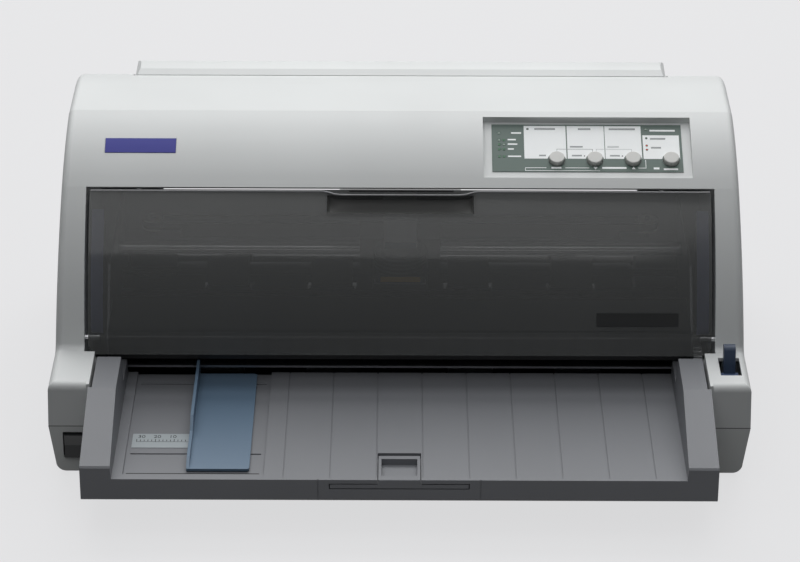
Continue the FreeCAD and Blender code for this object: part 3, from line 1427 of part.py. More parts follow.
def make_case_screws():
    """The four screws that go up through the lower case into the upper one."""
    screws = []
    for x, y in BOSS_PLACES:
        stem = rod("z", CASE_FLOOR_Z, SCREW_END_Z, SCREW_RADIUS, x=x, y=y)
        head = rod("z", CASE_FLOOR_Z - SCREW_HEAD_HEIGHT, CASE_FLOOR_Z, SCREW_HEAD, x=x, y=y)
        screws.append(fuse([stem, head]))
    return group("case_screws", screws)


release_lever = make_release_lever()
lever_shaft = make_lever_shaft()
power_rocker = make_rocker()
switch_housing = make_switch_housing()
rubber_feet = make_feet()
case_screws = make_case_screws()

# Printer frame
FRAME_HALF = size("frame_half", 204)
FRAME_THICK = size("frame_thick", 1.6)
FRAME_FRONT_Y = size("frame_front_y", -34)
FRAME_REAR_Y = size("frame_rear_y", 173)
FRAME_LOW_Z = size("frame_low_z", 22)
FRAME_TOP_Z = size("frame_top_z", 108)
FRAME_STEP_Y = size("frame_step_y", 126)
FRAME_STEP_Z = size("frame_step_z", 64)
POST_RADIUS = size("post_radius", 6)
POST_X = size("post_x", 150)
POST_FRONT_Y = size("post_front_y", -20)
POST_REAR_Y = size("post_rear_y", 150)
SHEET_Z = size("sheet_plane_z", 48)
RUN_GAP = size("running_gap", 0.05)

# Feed shafts
FEED_REAR_Y = size("feed_rear_y", 85)
FEED_SHAFT = size("feed_shaft_radius", 4)
FEED_ROLLER = size("feed_roller_radius", 8)
FEED_ROLLER_WIDTH = size("feed_roller_width", 32)
FEED_Z = SHEET_Z - FEED_ROLLER - SEAT_GAP
PINCH_SHAFT = size("pinch_shaft_radius", 2.5)
PINCH_ROLLER = size("pinch_roller_radius", 8.6)
PINCH_WIDTH = size("pinch_roller_width", 30)
PINCH_Z = SHEET_Z + PINCH_ROLLER + SEAT_GAP
REAR_PINCH_ROLLER = size("rear_pinch_roller_radius", 11.5)
REAR_PINCH_Z = SHEET_Z + REAR_PINCH_ROLLER + SEAT_GAP
ROLLER_X = size("roller_x", 126)
ROLLER_INNER_X = size("roller_inner_x", 50)

# Carriage way
ROD_Y = size("guide_rod_y", 62)
ROD_Z = size("guide_rod_z", 90.6)
ROD_RADIUS = size("guide_rod_radius", 5)
RAIL_LOW_Y = size("carriage_rail_front_y", 92)
RAIL_HIGH_Y = size("carriage_rail_rear_y", 104)
RAIL_HIGH_Z = size("carriage_rail_top_z", 78)
RAIL_THICK = size("carriage_rail_thick", 2)

# Tractor way
TRACTOR_SHAFT_Y = size("tractor_shaft_y", 166)
TRACTOR_SHAFT_Z = size("tractor_shaft_z", 40)
TRACTOR_SHAFT = size("tractor_shaft_radius", 3.5)
TRACTOR_ROD_Y = size("tractor_rod_y", 145)


# Feed motor and gear train, on the outside of the right side frame
TOOTH = size("gear_tooth_pitch", 3.2)
PINION_TEETH = 12
ROLLER_GEAR_TEETH = 34
IDLER_TEETH = 22
IDLERS = 3
MOTOR_RADIUS = size("motor_radius", 17.5)
MOTOR_LENGTH = size("motor_length", 30)
MOTOR_SHAFT = size("motor_shaft_radius", 2)
GEAR_SIDE_GAP = size("gear_side_gap", 1.4)
GEAR_WIDTH = size("gear_width", 6)
GEAR_LOW_X = FRAME_HALF + FRAME_THICK + GEAR_SIDE_GAP
GEAR_HIGH_X = GEAR_LOW_X + GEAR_WIDTH
TOOTH_TIP = size("gear_tooth_tip", 0.7)
TOOTH_ROOT = size("gear_tooth_root", 1)
TIP_SHARE = 0.11
ROOT_SHARE = 0.24


def pitch_radius(teeth):
    """Radius at which a gear of that many teeth meshes."""
    return TOOTH * (teeth / math.tau)


# The motor stands a whole number of teeth round the rear feed gear from the line through the idlers
MOTOR_STEPS = 3
MOTOR_ANGLE = 360 / ROLLER_GEAR_TEETH * MOTOR_STEPS
MOTOR_REACH = pitch_radius(PINION_TEETH + ROLLER_GEAR_TEETH)
MOTOR_Y = FEED_REAR_Y + MOTOR_REACH * math.cos(math.radians(MOTOR_ANGLE))
MOTOR_Z = FEED_Z + MOTOR_REACH * math.sin(math.radians(MOTOR_ANGLE))
FEED_FRONT_Y = FEED_REAR_Y - pitch_radius(ROLLER_GEAR_TEETH * 2 + IDLER_TEETH * IDLERS * 2)


def make_side_frame(side, label):
    """One steel side plate, with a hole for each shaft and rod that it carries."""
    body = new_body(label)
    low_x, high_x = span(FRAME_HALF, FRAME_HALF + FRAME_THICK, side)
    outline = [
        (FRAME_FRONT_Y, FRAME_LOW_Z),
        (FRAME_REAR_Y, FRAME_LOW_Z),
        (FRAME_REAR_Y, FRAME_STEP_Z),
        (FRAME_STEP_Y, FRAME_STEP_Z),
        (FRAME_STEP_Y, FRAME_TOP_Z),
        (ZERO, FRAME_TOP_Z),
        (FRAME_FRONT_Y, PINCH_Z + PINCH_ROLLER),
    ]
    pad(body, "x", low_x, high_x, outline)
    holes = [
        (FEED_FRONT_Y, FEED_Z, FEED_SHAFT + RUN_GAP),
        (FEED_REAR_Y, FEED_Z, FEED_SHAFT + RUN_GAP),
        (FEED_FRONT_Y, PINCH_Z, PINCH_SHAFT + RUN_GAP),
        (FEED_REAR_Y, REAR_PINCH_Z, PINCH_SHAFT + RUN_GAP),
        (ROD_Y, ROD_Z, ROD_RADIUS + RUN_GAP),
        (TRACTOR_SHAFT_Y, TRACTOR_SHAFT_Z, TRACTOR_SHAFT + RUN_GAP),
        (TRACTOR_ROD_Y, TRACTOR_SHAFT_Z, TRACTOR_SHAFT + RUN_GAP),
    ]
    if side > 0:
        holes.append((MOTOR_Y, MOTOR_Z, MOTOR_SHAFT + PIVOT_GAP))
    pocket(body, "x", low_x - OVERRUN, high_x + OVERRUN, None, holes)
    if side > 0:
        pad(body, "x", low_x + SEAT_GAP, GEAR_HIGH_X, None, idler_stubs())
    return piece(body, label)


def make_gear(label, teeth, y, z, first_tooth, low_x, high_x, bore):
    """A straight-toothed gear on an X axis, with one tooth at the angle first_tooth."""
    step = math.tau / teeth
    pitch = number(pitch_radius(teeth))
    tip, floor = pitch + number(TOOTH_TIP), pitch - number(TOOTH_ROOT)
    points = []
    for index in range(teeth):
        middle = math.radians(first_tooth) + step * index
        for share, radius in ((-ROOT_SHARE, floor), (-TIP_SHARE, tip), (TIP_SHARE, tip), (ROOT_SHARE, floor)):
            angle = middle + step * share
            points.append(FreeCAD.Vector(0, radius * math.cos(angle), radius * math.sin(angle)))
    face = Part.Face(Part.makePolygon(points + points[:1]))
    width = number(high_x - low_x)
    blank = face.extrude(FreeCAD.Vector(width, 0, 0))
    hole = Part.makeCylinder(number(bore), width, FreeCAD.Vector(), FreeCAD.Vector(1, 0, 0))
    made = doc.addObject("Part::Feature", "Gear_" + label)
    made.Shape = blank.cut(hole)
    return place(made, low_x, y, z)


def tooth_gap(teeth):
    """Half the angle from one tooth to the next."""
    return 360 / teeth / 2


def make_idlers():
    """The gears between the two feed gears, each on its own stub."""
    made = []
    reach = pitch_radius(ROLLER_GEAR_TEETH + IDLER_TEETH)
    for index in range(IDLERS):
        y = FEED_REAR_Y - reach - pitch_radius(IDLER_TEETH * 2) * index
        start = tooth_gap(IDLER_TEETH) if index % 2 == 0 else 0
        label = f"idler_gear_{index + 1}"
        gear = make_gear(label, IDLER_TEETH, y, FEED_Z, start, GEAR_LOW_X, GEAR_HIGH_X, PINCH_SHAFT + RUN_GAP)
        made.append(piece(gear, label))
    return made


def idler_stubs():
    """The steel stubs on the right side frame that the idler gears run on."""
    reach = pitch_radius(ROLLER_GEAR_TEETH + IDLER_TEETH)
    stubs = []
    for index in range(IDLERS):
        y = FEED_REAR_Y - reach - pitch_radius(IDLER_TEETH * 2) * index
        stubs.append((y, FEED_Z, PINCH_SHAFT))
    return stubs


def make_feed_roller(label, y):
    """A steel feed shaft with its rubber-faced rollers, running through both side frames."""
    end = FRAME_HALF + FRAME_THICK + RUN_GAP
    shapes = [rod("x", -end, GEAR_HIGH_X, FEED_SHAFT, y=y, z=FEED_Z)]
    half = FEED_ROLLER_WIDTH / 2
    for x in (-ROLLER_X, -ROLLER_INNER_X, ROLLER_INNER_X, ROLLER_X):
        shapes.append(rod("x", x - half, x + half, FEED_ROLLER, y=y, z=FEED_Z))
    shapes.append(make_gear(label, ROLLER_GEAR_TEETH, y, FEED_Z, 0, GEAR_LOW_X, GEAR_HIGH_X, MOTOR_SHAFT))
    return piece(fuse(shapes), label)


def make_pinch_roller(label, y, z, radius):
    """A thin steel shaft with the rollers that press the sheet onto the feed rollers."""
    end = FRAME_HALF + FRAME_THICK
    shapes = [rod("x", -end, end, PINCH_SHAFT, y=y, z=z)]
    half = PINCH_WIDTH / 2
    for x in (-ROLLER_X, -ROLLER_INNER_X, ROLLER_INNER_X, ROLLER_X):
        shapes.append(rod("x", x - half, x + half, radius, y=y, z=z))
    return piece(fuse(shapes), label)


def make_feed_motor():
    """The can of the feed motor, inside the right side frame."""
    high_x = FRAME_HALF
    can = rod("x", high_x - MOTOR_LENGTH, high_x, MOTOR_RADIUS, y=MOTOR_Y, z=MOTOR_Z)
    bore_start = high_x - MOTOR_LENGTH / 2
    bore = rod("x", bore_start, high_x + OVERRUN, MOTOR_SHAFT + PIVOT_GAP, y=MOTOR_Y, z=MOTOR_Z)
    return piece(cut(can, bore), "feed_motor")


def make_motor_pinion():
    """The feed motor's shaft with its pinion."""
    start_x = FRAME_HALF - MOTOR_LENGTH / 2 + SEAT_GAP
    shaft = rod("x", start_x, GEAR_HIGH_X, MOTOR_SHAFT, y=MOTOR_Y, z=MOTOR_Z)
    first = MOTOR_ANGLE + 180 + tooth_gap(PINION_TEETH)
    pinion = make_gear("pinion", PINION_TEETH, MOTOR_Y, MOTOR_Z, first, GEAR_LOW_X, GEAR_HIGH_X, MOTOR_SHAFT)
    return piece(fuse([shaft, pinion]), "motor_pinion")


# Chassis, platen and sheet plates
PLATEN_Y = size("platen_y", 35)
PLATEN_HALF = size("platen_half_width", 9)
PLATEN_DEPTH = size("platen_depth", 12)
PLATEN_ROUND = size("platen_round", 3)
PLATE_THICK = size("sheet_plate_thick", 1.5)
PLATE_DROP = size("sheet_plate_drop", 1)
WINDOW_MARGIN = size("roller_window_margin", 2)
UPPER_FRONT_Y = size("upper_guide_front_y", -38)
UPPER_FRONT_Z = size("upper_guide_front_z", 74)
UPPER_REAR_Y = size("upper_guide_rear_y", 8)
UPPER_REAR_Z = size("upper_guide_rear_z", 78.5)
UPPER_FOOT_Z = size("upper_guide_foot_z", 52)
UPPER_THICK = size("upper_guide_thick", 2)
UPPER_NOSE = size("upper_guide_nose", 21)
STRIP_FRONT_Y = size("steel_strip_front_y", 62)
STRIP_REAR_Y = size("steel_strip_rear_y", 72)
STRIP_LIFT = size("steel_strip_lift", 2)


def make_chassis():
    """The steel floor plate between the side frames, on its four posts."""
    plate_top = FRAME_LOW_Z + FRAME_THICK
    shapes = [box(-FRAME_HALF, FRAME_HALF, FRAME_FRONT_Y, FRAME_REAR_Y, FRAME_LOW_Z, plate_top)]
    for x in (-POST_X, POST_X):
        for y in (POST_FRONT_Y, POST_REAR_Y):
            shapes.append(rod("z", CASE_FLOOR_Z + WALL, FRAME_LOW_Z, POST_RADIUS, x=x, y=y))
    return piece(fuse(shapes), "chassis_plate")


def make_platen():
    """The bar under the print head that the sheet lies on."""
    body = new_body("platen")
    top_z = SHEET_Z - SEAT_GAP
    outline = rectangle(PLATEN_Y - PLATEN_HALF, top_z - PLATEN_DEPTH, PLATEN_Y + PLATEN_HALF, top_z)
    pad(body, "x", -FRAME_HALF, FRAME_HALF, outline)
    soften(body, PLATEN_ROUND, lambda low, high: across(low, high) and near(low.z, top_z))
    return piece(body, "platen")


def make_sheet_plate(label, front_y, rear_y, roller_y, room=None):
    """A flat plate that the sheet slides over, with a window for each roller and room for a motor."""
    body = new_body(label)
    high_z = SHEET_Z - PLATE_DROP
    low_z = high_z - PLATE_THICK
    pad(body, "z", low_z, high_z, rectangle(-FRAME_HALF, front_y, FRAME_HALF, rear_y))
    half = FEED_ROLLER_WIDTH / 2 + WINDOW_MARGIN
    reach = FEED_ROLLER + WINDOW_MARGIN
    for x in (-ROLLER_X, -ROLLER_INNER_X, ROLLER_INNER_X, ROLLER_X):
        hole = rectangle(x - half, roller_y - reach, x + half, roller_y + reach)
        pocket(body, "z", low_z - WALL, high_z + WALL, hole)
    if room is not None:
        pocket(body, "z", low_z - WALL, high_z + WALL, room)
    return piece(body, label)


def motor_room():
    """The corner of the rear sheet plate that the feed motor takes."""
    low_x = FRAME_HALF - MOTOR_LENGTH - WINDOW_MARGIN
    low_y = MOTOR_Y - MOTOR_RADIUS - WINDOW_MARGIN
    return rectangle(low_x, low_y, FRAME_HALF + OVERRUN, BRACKET_REAR_Y + OVERRUN)


def make_upper_guide():
    """The dark plate over the front feed, which slopes up to the print head."""
    thick = UPPER_THICK
    outline = [
        (UPPER_FRONT_Y, UPPER_FRONT_Z - UPPER_NOSE),
        (UPPER_FRONT_Y + thick, UPPER_FRONT_Z - UPPER_NOSE),
        (UPPER_FRONT_Y + thick, UPPER_FRONT_Z - thick),
        (UPPER_REAR_Y - thick, UPPER_REAR_Z - thick),
        (UPPER_REAR_Y - thick, UPPER_FOOT_Z),
        (UPPER_REAR_Y, UPPER_FOOT_Z),
        (UPPER_REAR_Y, UPPER_REAR_Z),
        (UPPER_FRONT_Y, UPPER_FRONT_Z),
    ]
    return piece(prism("x", -FRAME_HALF, FRAME_HALF, outline), "upper_sheet_guide")


def make_steel_strip():
    """The bright strip that holds the sheet down behind the platen."""
    low_z = SHEET_Z + STRIP_LIFT
    high_z = low_z + PLATE_THICK
    strip = box(-FRAME_HALF, FRAME_HALF, STRIP_FRONT_Y, STRIP_REAR_Y, low_z, high_z, "SteelStrip")
    return piece(strip, "steel_strip")


# Carriage and print head
CARRIAGE_HALF = size("carriage_half_width", 29)
CARRIAGE_FRONT_Y = size("carriage_front_y", 50)
CARRIAGE_REAR_Y = size("carriage_rear_y", 76)
CARRIAGE_LOW_Z = size("carriage_low_z", 82)
CARRIAGE_TOP_Z = size("carriage_top_z", 104)
CARRIAGE_ARM_HALF = size("carriage_arm_half", 12)
CARRIAGE_ARM_LOW_Z = size("carriage_arm_low_z", 89.5)
HEAD_HALF = size("head_half_width", 20)
HEAD_FRONT_Y = size("head_front_y", 22)
HEAD_LOW_Z = size("head_low_z", 66)
HEAD_BODY_Z = size("head_body_top_z", 88)
HEAD_TOP_Z = size("head_top_z", 105)
HEAD_ROUND = size("head_round_radius", 19)
HEAD_MID_Y = size("head_mid_y", 35)
FIN_THICK = size("fin_thick", 1.2)
FIN_PITCH = size("fin_pitch", 3.2)
FIN_DEPTH = size("fin_depth", 4)
FINS = 5
NOSE_HALF = size("nose_half_width", 4)
NOSE_RUN = size("nose_half_run", 2.5)
NOSE_GAP = size("nose_gap", 1.2)
SHIELD_HALF = size("shield_half_width", 21)
SHIELD_THICK = size("shield_thick", 1)
SHIELD_LOW_Z = size("shield_low_z", 49.5)
SHIELD_TOP_Z = size("shield_top_z", 78)
SHIELD_Y = size("shield_y", 19)
CABLE_THICK = size("head_cable_thick", 0.8)
CABLE_BEND = size("head_cable_bend", 12)
CABLE_TOP_Z = size("head_cable_top_z", 126)
CABLE_FRONT_Y = size("head_cable_front_y", 33)


def make_carriage():
    """The block that runs on the rod and on the rail behind it, and clamps the belt."""
    half = CARRIAGE_HALF
    block = box(-half, half, CARRIAGE_FRONT_Y, CARRIAGE_REAR_Y, CARRIAGE_LOW_Z, CARRIAGE_TOP_Z)
    arm = CARRIAGE_ARM_HALF
    clamp_y = BELT_Y - PULLEY_RADIUS - RUN_GAP - BELT_THICK - SEAT_GAP
    rear_arm = box(-arm, arm, CARRIAGE_REAR_Y, clamp_y, CARRIAGE_ARM_LOW_Z, CARRIAGE_TOP_Z)
    jaw = box(-arm, arm, RAIL_HIGH_Y + SEAT_GAP, clamp_y, BELT_LOW_Z, CARRIAGE_ARM_LOW_Z)
    slider = box(-arm, arm, RAIL_LOW_Y, RAIL_HIGH_Y, RAIL_HIGH_Z + SEAT_GAP, CARRIAGE_ARM_LOW_Z)
    bridge = box(-half, half, HEAD_MID_Y, CARRIAGE_FRONT_Y, CARRIAGE_LOW_Z, HEAD_BODY_Z)
    bore = rod("x", -half - OVERRUN, half + OVERRUN, ROD_RADIUS + RUN_GAP, y=ROD_Y, z=ROD_Z)
    seat_low, seat_high = CARRIAGE_LOW_Z - OVERRUN, CARRIAGE_TOP_Z + OVERRUN
    head_seat = box(-HEAD_HALF, HEAD_HALF, HEAD_FRONT_Y, CARRIAGE_FRONT_Y, seat_low, seat_high)
    return piece(cut(fuse([block, rear_arm, jaw, slider, bridge]), [bore, head_seat]), "carriage")


def make_print_head():
    """The finned print head with the nose that holds its pins just over the sheet."""
    half = HEAD_HALF
    body = box(-half, half, HEAD_FRONT_Y, CARRIAGE_FRONT_Y, HEAD_LOW_Z, HEAD_BODY_Z)
    can = rod("z", HEAD_BODY_Z, HEAD_TOP_Z, HEAD_ROUND - FIN_DEPTH, y=HEAD_MID_Y)
    shapes = [body, can]
    for index in range(FINS):
        low_z = HEAD_BODY_Z + FIN_PITCH * index + FIN_THICK
        shapes.append(rod("z", low_z, low_z + FIN_THICK, HEAD_ROUND, y=HEAD_MID_Y))
    tip_z = SHEET_Z + NOSE_GAP
    shapes.append(box(-NOSE_HALF, NOSE_HALF, PLATEN_Y - NOSE_RUN, PLATEN_Y + NOSE_RUN, tip_z, HEAD_LOW_Z))
    around = box(-half, half, HEAD_FRONT_Y - half, CARRIAGE_FRONT_Y, ZERO, CARRIAGE_TOP_Z + OVERRUN)
    return piece(common(fuse(shapes), around), "print_head")


def make_shield():
    """The bent steel ribbon shield in front of the print head's nose."""
    half, low_z = SHIELD_HALF, SHIELD_LOW_Z
    foot_z = low_z + SHIELD_THICK
    upright = box(-half, half, SHIELD_Y, SHIELD_Y + SHIELD_THICK, foot_z, SHIELD_TOP_Z)
    hole_half = NOSE_HALF * 2
    foot = box(-half, half, SHIELD_Y, PLATEN_Y + hole_half, low_z, foot_z)
    tabs = []
    for side in SIDES:
        ends = span(half - NOSE_HALF, half, side)
        tabs.append(box(*ends, SHIELD_Y, HEAD_FRONT_Y, HEAD_LOW_Z, HEAD_LOW_Z + NOSE_HALF))
    hole_y = (PLATEN_Y - NOSE_HALF, PLATEN_Y + NOSE_HALF)
    hole = box(-hole_half, hole_half, *hole_y, low_z - WALL, low_z + WALL)
    mouth_half = half - hole_half
    mouth = box(-mouth_half, mouth_half, SHIELD_Y - WALL, SHIELD_Y + WALL, low_z + NOSE_HALF, HEAD_LOW_Z)
    return piece(cut(fuse([upright, foot] + tabs), [hole, mouth]), "ribbon_shield")


def make_head_cable():
    """The flat cable that rises from the print head and bends back to the carriage."""
    bend, thick = CABLE_BEND, CABLE_THICK
    front_y, top_z = CABLE_FRONT_Y, CABLE_TOP_Z
    rear_y = RAIL_LOW_Y
    outline = [
        (front_y, HEAD_TOP_Z),
        (front_y + thick, HEAD_TOP_Z),
        (front_y + thick, top_z - bend, -(bend - thick)),
        (front_y + bend, top_z - thick),
        (rear_y - bend, top_z - thick, -(bend - thick)),
        (rear_y - thick, top_z - bend),
        (rear_y - thick, CARRIAGE_TOP_Z),
        (rear_y, CARRIAGE_TOP_Z),
        (rear_y, top_z - bend, bend),
        (rear_y - bend, top_z),
        (front_y + bend, top_z, bend),
        (front_y, top_z - bend),
    ]
    return piece(prism("x", -CARRIAGE_ARM_HALF, CARRIAGE_ARM_HALF, outline), "head_cable")


# Carriage drive
PULLEY_X = size("pulley_x", 183)
BELT_Y = size("belt_y", 114)
BELT_LOW_Z = size("belt_low_z", 83)
BELT_HIGH_Z = size("belt_high_z", 88)
BELT_THICK = size("belt_thick", 1.2)
PULLEY_RADIUS = size("pulley_radius", 6)
PULLEY_FLANGE = size("pulley_flange", 1.5)
BRACKET_HALF = size("bracket_half", 20)
BRACKET_FRONT_Y = size("bracket_front_y", 98)
BRACKET_REAR_Y = size("bracket_rear_y", 126)
BRACKET_TOP_Z = size("bracket_top_z", 75.6)
SCREEN_Y = size("screen_plate_y", 122)
SCREEN_TOP_Z = size("screen_plate_top_z", 108)
DRIVE_LENGTH = size("drive_motor_length", 26)


def make_belt():
    """The toothed belt that runs round both pulleys."""
    inner = PULLEY_RADIUS + RUN_GAP
    outer = inner + BELT_THICK
    loops = []
    for radius in (outer, inner):
        ends = [rod("z", BELT_LOW_Z, BELT_HIGH_Z, radius, x=x, y=BELT_Y) for x in (-PULLEY_X, PULLEY_X)]
        runs = box(-PULLEY_X, PULLEY_X, BELT_Y - radius, BELT_Y + radius, BELT_LOW_Z, BELT_HIGH_Z)
        loops.append(fuse(ends + [runs]))
    return piece(cut(loops[0], loops[1]), "timing_belt")


def make_pulley(label, x):
    """One flanged pulley for the belt."""
    low_z, high_z = BELT_LOW_Z - SEAT_GAP, BELT_HIGH_Z + SEAT_GAP
    rim = PULLEY_RADIUS + PULLEY_FLANGE
    shapes = [
        rod("z", low_z, high_z, PULLEY_RADIUS, x=x, y=BELT_Y),
        rod("z", low_z - PULLEY_FLANGE, low_z, rim, x=x, y=BELT_Y),
        rod("z", high_z, high_z + PULLEY_FLANGE, rim, x=x, y=BELT_Y),
    ]
    bore = rod("z", low_z - OVERRUN, high_z + OVERRUN, MOTOR_SHAFT + RUN_GAP, x=x, y=BELT_Y)
    return piece(cut(fuse(shapes), bore), label)


def make_brackets():
    """The steel shelves that carry the pulleys on their stubs, and the cross plate behind them."""
    shelves = [box(-FRAME_HALF, FRAME_HALF, SCREEN_Y, SCREEN_Y + FRAME_THICK, BRACKET_TOP_Z, SCREEN_TOP_Z)]
    for side in SIDES:
        ends = span(PULLEY_X - BRACKET_HALF, FRAME_HALF, side)
        low_z = BRACKET_TOP_Z - FRAME_THICK
        shelf = box(*ends, BRACKET_FRONT_Y, BRACKET_REAR_Y, low_z, BRACKET_TOP_Z)
        stub_top = BELT_HIGH_Z + PULLEY_FLANGE * 2
        stub = rod("z", BRACKET_TOP_Z, stub_top, MOTOR_SHAFT, x=PULLEY_X * side, y=BELT_Y)
        shelves.extend([shelf, stub])
    return piece(fuse(shelves), "pulley_brackets")


def make_drive_motor():
    """The can of the carriage motor, under its bracket."""
    top_z = BRACKET_TOP_Z - FRAME_THICK
    can = rod("z", top_z - DRIVE_LENGTH, top_z, MOTOR_RADIUS, x=-PULLEY_X, y=BELT_Y)
    return piece(can, "carriage_motor")


def make_rod():
    """The polished rod that the carriage slides on."""
    end = FRAME_HALF + FRAME_THICK + SEAT_GAP
    return piece(rod("x", -end, end, ROD_RADIUS, y=ROD_Y, z=ROD_Z, label="GuideRod"), "guide_rod")


def make_rail():
    """The flat rail behind the rod that keeps the carriage from turning."""
    low_z = RAIL_HIGH_Z - RAIL_THICK
    bar = box(-FRAME_HALF, FRAME_HALF, RAIL_LOW_Y, RAIL_HIGH_Y, low_z, RAIL_HIGH_Z, "CarriageRail")
    return piece(bar, "carriage_rail")


frames = [make_side_frame(-1, "side_frame_left"), make_side_frame(1, "side_frame_right")]
chassis = [make_chassis(), make_platen(), make_upper_guide(), make_steel_strip()]
SHEET_SPLIT = PLATEN_HALF + SEAT_GAP
plates = [
    make_sheet_plate("front_sheet_plate", GUIDE_REAR_Y + SEAT_GAP, PLATEN_Y - SHEET_SPLIT, FEED_FRONT_Y),
    make_sheet_plate("rear_sheet_plate", PLATEN_Y + SHEET_SPLIT, BRACKET_REAR_Y, FEED_REAR_Y, motor_room()),
]
rollers = [
    make_feed_roller("front_feed_roller", FEED_FRONT_Y),
    make_feed_roller("rear_feed_roller", FEED_REAR_Y),
    make_pinch_roller("front_pinch_roller", FEED_FRONT_Y, PINCH_Z, PINCH_ROLLER),
    make_pinch_roller("rear_pinch_roller", FEED_REAR_Y, REAR_PINCH_Z, REAR_PINCH_ROLLER),
]
idlers = make_idlers()
motors = [make_feed_motor(), make_motor_pinion(), make_drive_motor()]
carriage = [make_carriage(), make_print_head(), make_shield(), make_head_cable(), make_rod(), make_rail()]
drive = [make_belt(), make_pulley("drive_pulley", -PULLEY_X), make_pulley("idler_pulley", PULLEY_X)]
brackets = make_brackets()

# Tractor feed under the rear hatch
TRACTOR_X = size("tractor_x", 120)
TRACTOR_HALF = size("tractor_half_width", 9)
TRACTOR_FRONT_Y = size("tractor_front_y", 137)
TRACTOR_REAR_Y = size("tractor_rear_y", 175)
TRACTOR_LOW_Z = size("tractor_low_z", 33)
TRACTOR_TOP_Z = size("tractor_top_z", 47.4)
TRACTOR_LID_GAP = size("tractor_lid_gap", 1.6)
TRACTOR_LID = size("tractor_lid_thick", 2.5)
TRACTOR_SPINE = size("tractor_spine", 3)
SPROCKET_RADIUS = size("sprocket_radius", 7.2)
SPROCKET_HALF = size("sprocket_half_width", 4)
SPROCKET_PIN = size("sprocket_pin_radius", 0.8)
SPROCKET_PIN_REACH = size("sprocket_pin_reach", 1.5)
SPROCKET_PINS = 6


def make_tractor(label, side):
    """One tractor, which slides on its rod and shaft and folds a lid over the sheet's edge."""
    middle = TRACTOR_X * side
    low_x, high_x = middle - TRACTOR_HALF, middle + TRACTOR_HALF
    lid_low = TRACTOR_TOP_Z + TRACTOR_LID_GAP
    lid_top = lid_low + TRACTOR_LID
    block = box(low_x, high_x, TRACTOR_FRONT_Y, TRACTOR_REAR_Y, TRACTOR_LOW_Z, TRACTOR_TOP_Z)
    lid = box(low_x, high_x, TRACTOR_FRONT_Y, TRACTOR_REAR_Y, lid_low, lid_top)
    outer_x = TRACTOR_X + TRACTOR_HALF
    spine_ends = span(outer_x, outer_x + TRACTOR_SPINE, side)
    spine = box(*spine_ends, TRACTOR_FRONT_Y, TRACTOR_REAR_Y, TRACTOR_LOW_Z, lid_top)
    slot_half = SPROCKET_HALF + SEAT_GAP
    slot_y = (TRACTOR_ROD_Y + SPROCKET_RADIUS, TRACTOR_REAR_Y + OVERRUN)
    slot_z = (TRACTOR_LOW_Z - OVERRUN, TRACTOR_TOP_Z + SEAT_GAP)
    tools = [box(middle - slot_half, middle + slot_half, *slot_y, *slot_z)]
    for y in (TRACTOR_SHAFT_Y, TRACTOR_ROD_Y):
        bore = TRACTOR_SHAFT + PIVOT_GAP
        tools.append(rod("x", low_x - OVERRUN, high_x + OVERRUN, bore, y=y, z=TRACTOR_SHAFT_Z))
    return piece(cut(fuse([block, lid, spine]), tools), label)


def make_sprocket(label, side):
    """The pinned wheel inside one tractor."""
    middle = TRACTOR_X * side
    here = {"y": TRACTOR_SHAFT_Y, "z": TRACTOR_SHAFT_Z}
    shapes = [rod("x", middle - SPROCKET_HALF, middle + SPROCKET_HALF, SPROCKET_RADIUS, **here)]
    for index in range(SPROCKET_PINS):
        pin = doc.addObject("Part::Cylinder", f"SprocketPin{len(features)}")
        features.append(pin)
        bind(pin, "Radius", SPROCKET_PIN)
        bind(pin, "Height", SPROCKET_RADIUS + SPROCKET_PIN_REACH)
        place(pin, middle, **here, axis=(1, 0, 0), turn=360 / SPROCKET_PINS * index)
        shapes.append(pin)
    bore = rod("x", middle - TRACTOR_HALF, middle + TRACTOR_HALF, TRACTOR_SHAFT + RUN_GAP, **here)
    return piece(cut(fuse(shapes), bore), label)


def make_tractor_bar(label, y):
    """A round bar across the tractor bay, from one side frame to the other."""
    end = FRAME_HALF + FRAME_THICK
    return piece(rod("x", -end, end, TRACTOR_SHAFT, y=y, z=TRACTOR_SHAFT_Z, label="Bar_" + label), label)


tractors = [make_tractor("tractor_left", -1), make_tractor("tractor_right", 1)]
sprockets = [make_sprocket("sprocket_left", -1), make_sprocket("sprocket_right", 1)]
bars = [make_tractor_bar("tractor_shaft", TRACTOR_SHAFT_Y), make_tractor_bar("tractor_rod", TRACTOR_ROD_Y)]

# Electronics in the floor of the case
BOARD_LIFT = size("board_lift", 3.5)
STANDOFF = size("standoff_radius", 2.5)
STANDOFF_INSET = size("standoff_inset", 6)
MAIN_X = (size("main_board_left_x", -140), size("main_board_right_x", 60))
MAIN_FRONT_Y = size("main_board_front_y", 40)
BOARD_REAR_Y = size("board_rear_y", 172)
SUPPLY_X = (size("supply_left_x", 162), size("supply_right_x", 208))
SUPPLY_FRONT_Y = size("supply_front_y", 30)
BLOCK_TOP_Z = size("component_top_z", 19)
CHIP_TOP_Z = size("chip_top_z", 14)
SOCKET_GAP = size("socket_gap", 0.5)
SOCKET_WALL = size("socket_wall", 2)
SOCKET_DEPTH = size("socket_depth", 9)
# Parts on each board as shares of its width and depth: left, right, front, rear
CHIP_SHARES = [
    (0.15, 0.33, 0.2, 0.42),
    (0.42, 0.56, 0.25, 0.42),
    (0.7, 0.9, 0.15, 0.3),
    (0.2, 0.3, 0.6, 0.75),
]
BLOCK_SHARES = [(0.15, 0.85, 0.1, 0.4), (0.2, 0.5, 0.5, 0.62)]


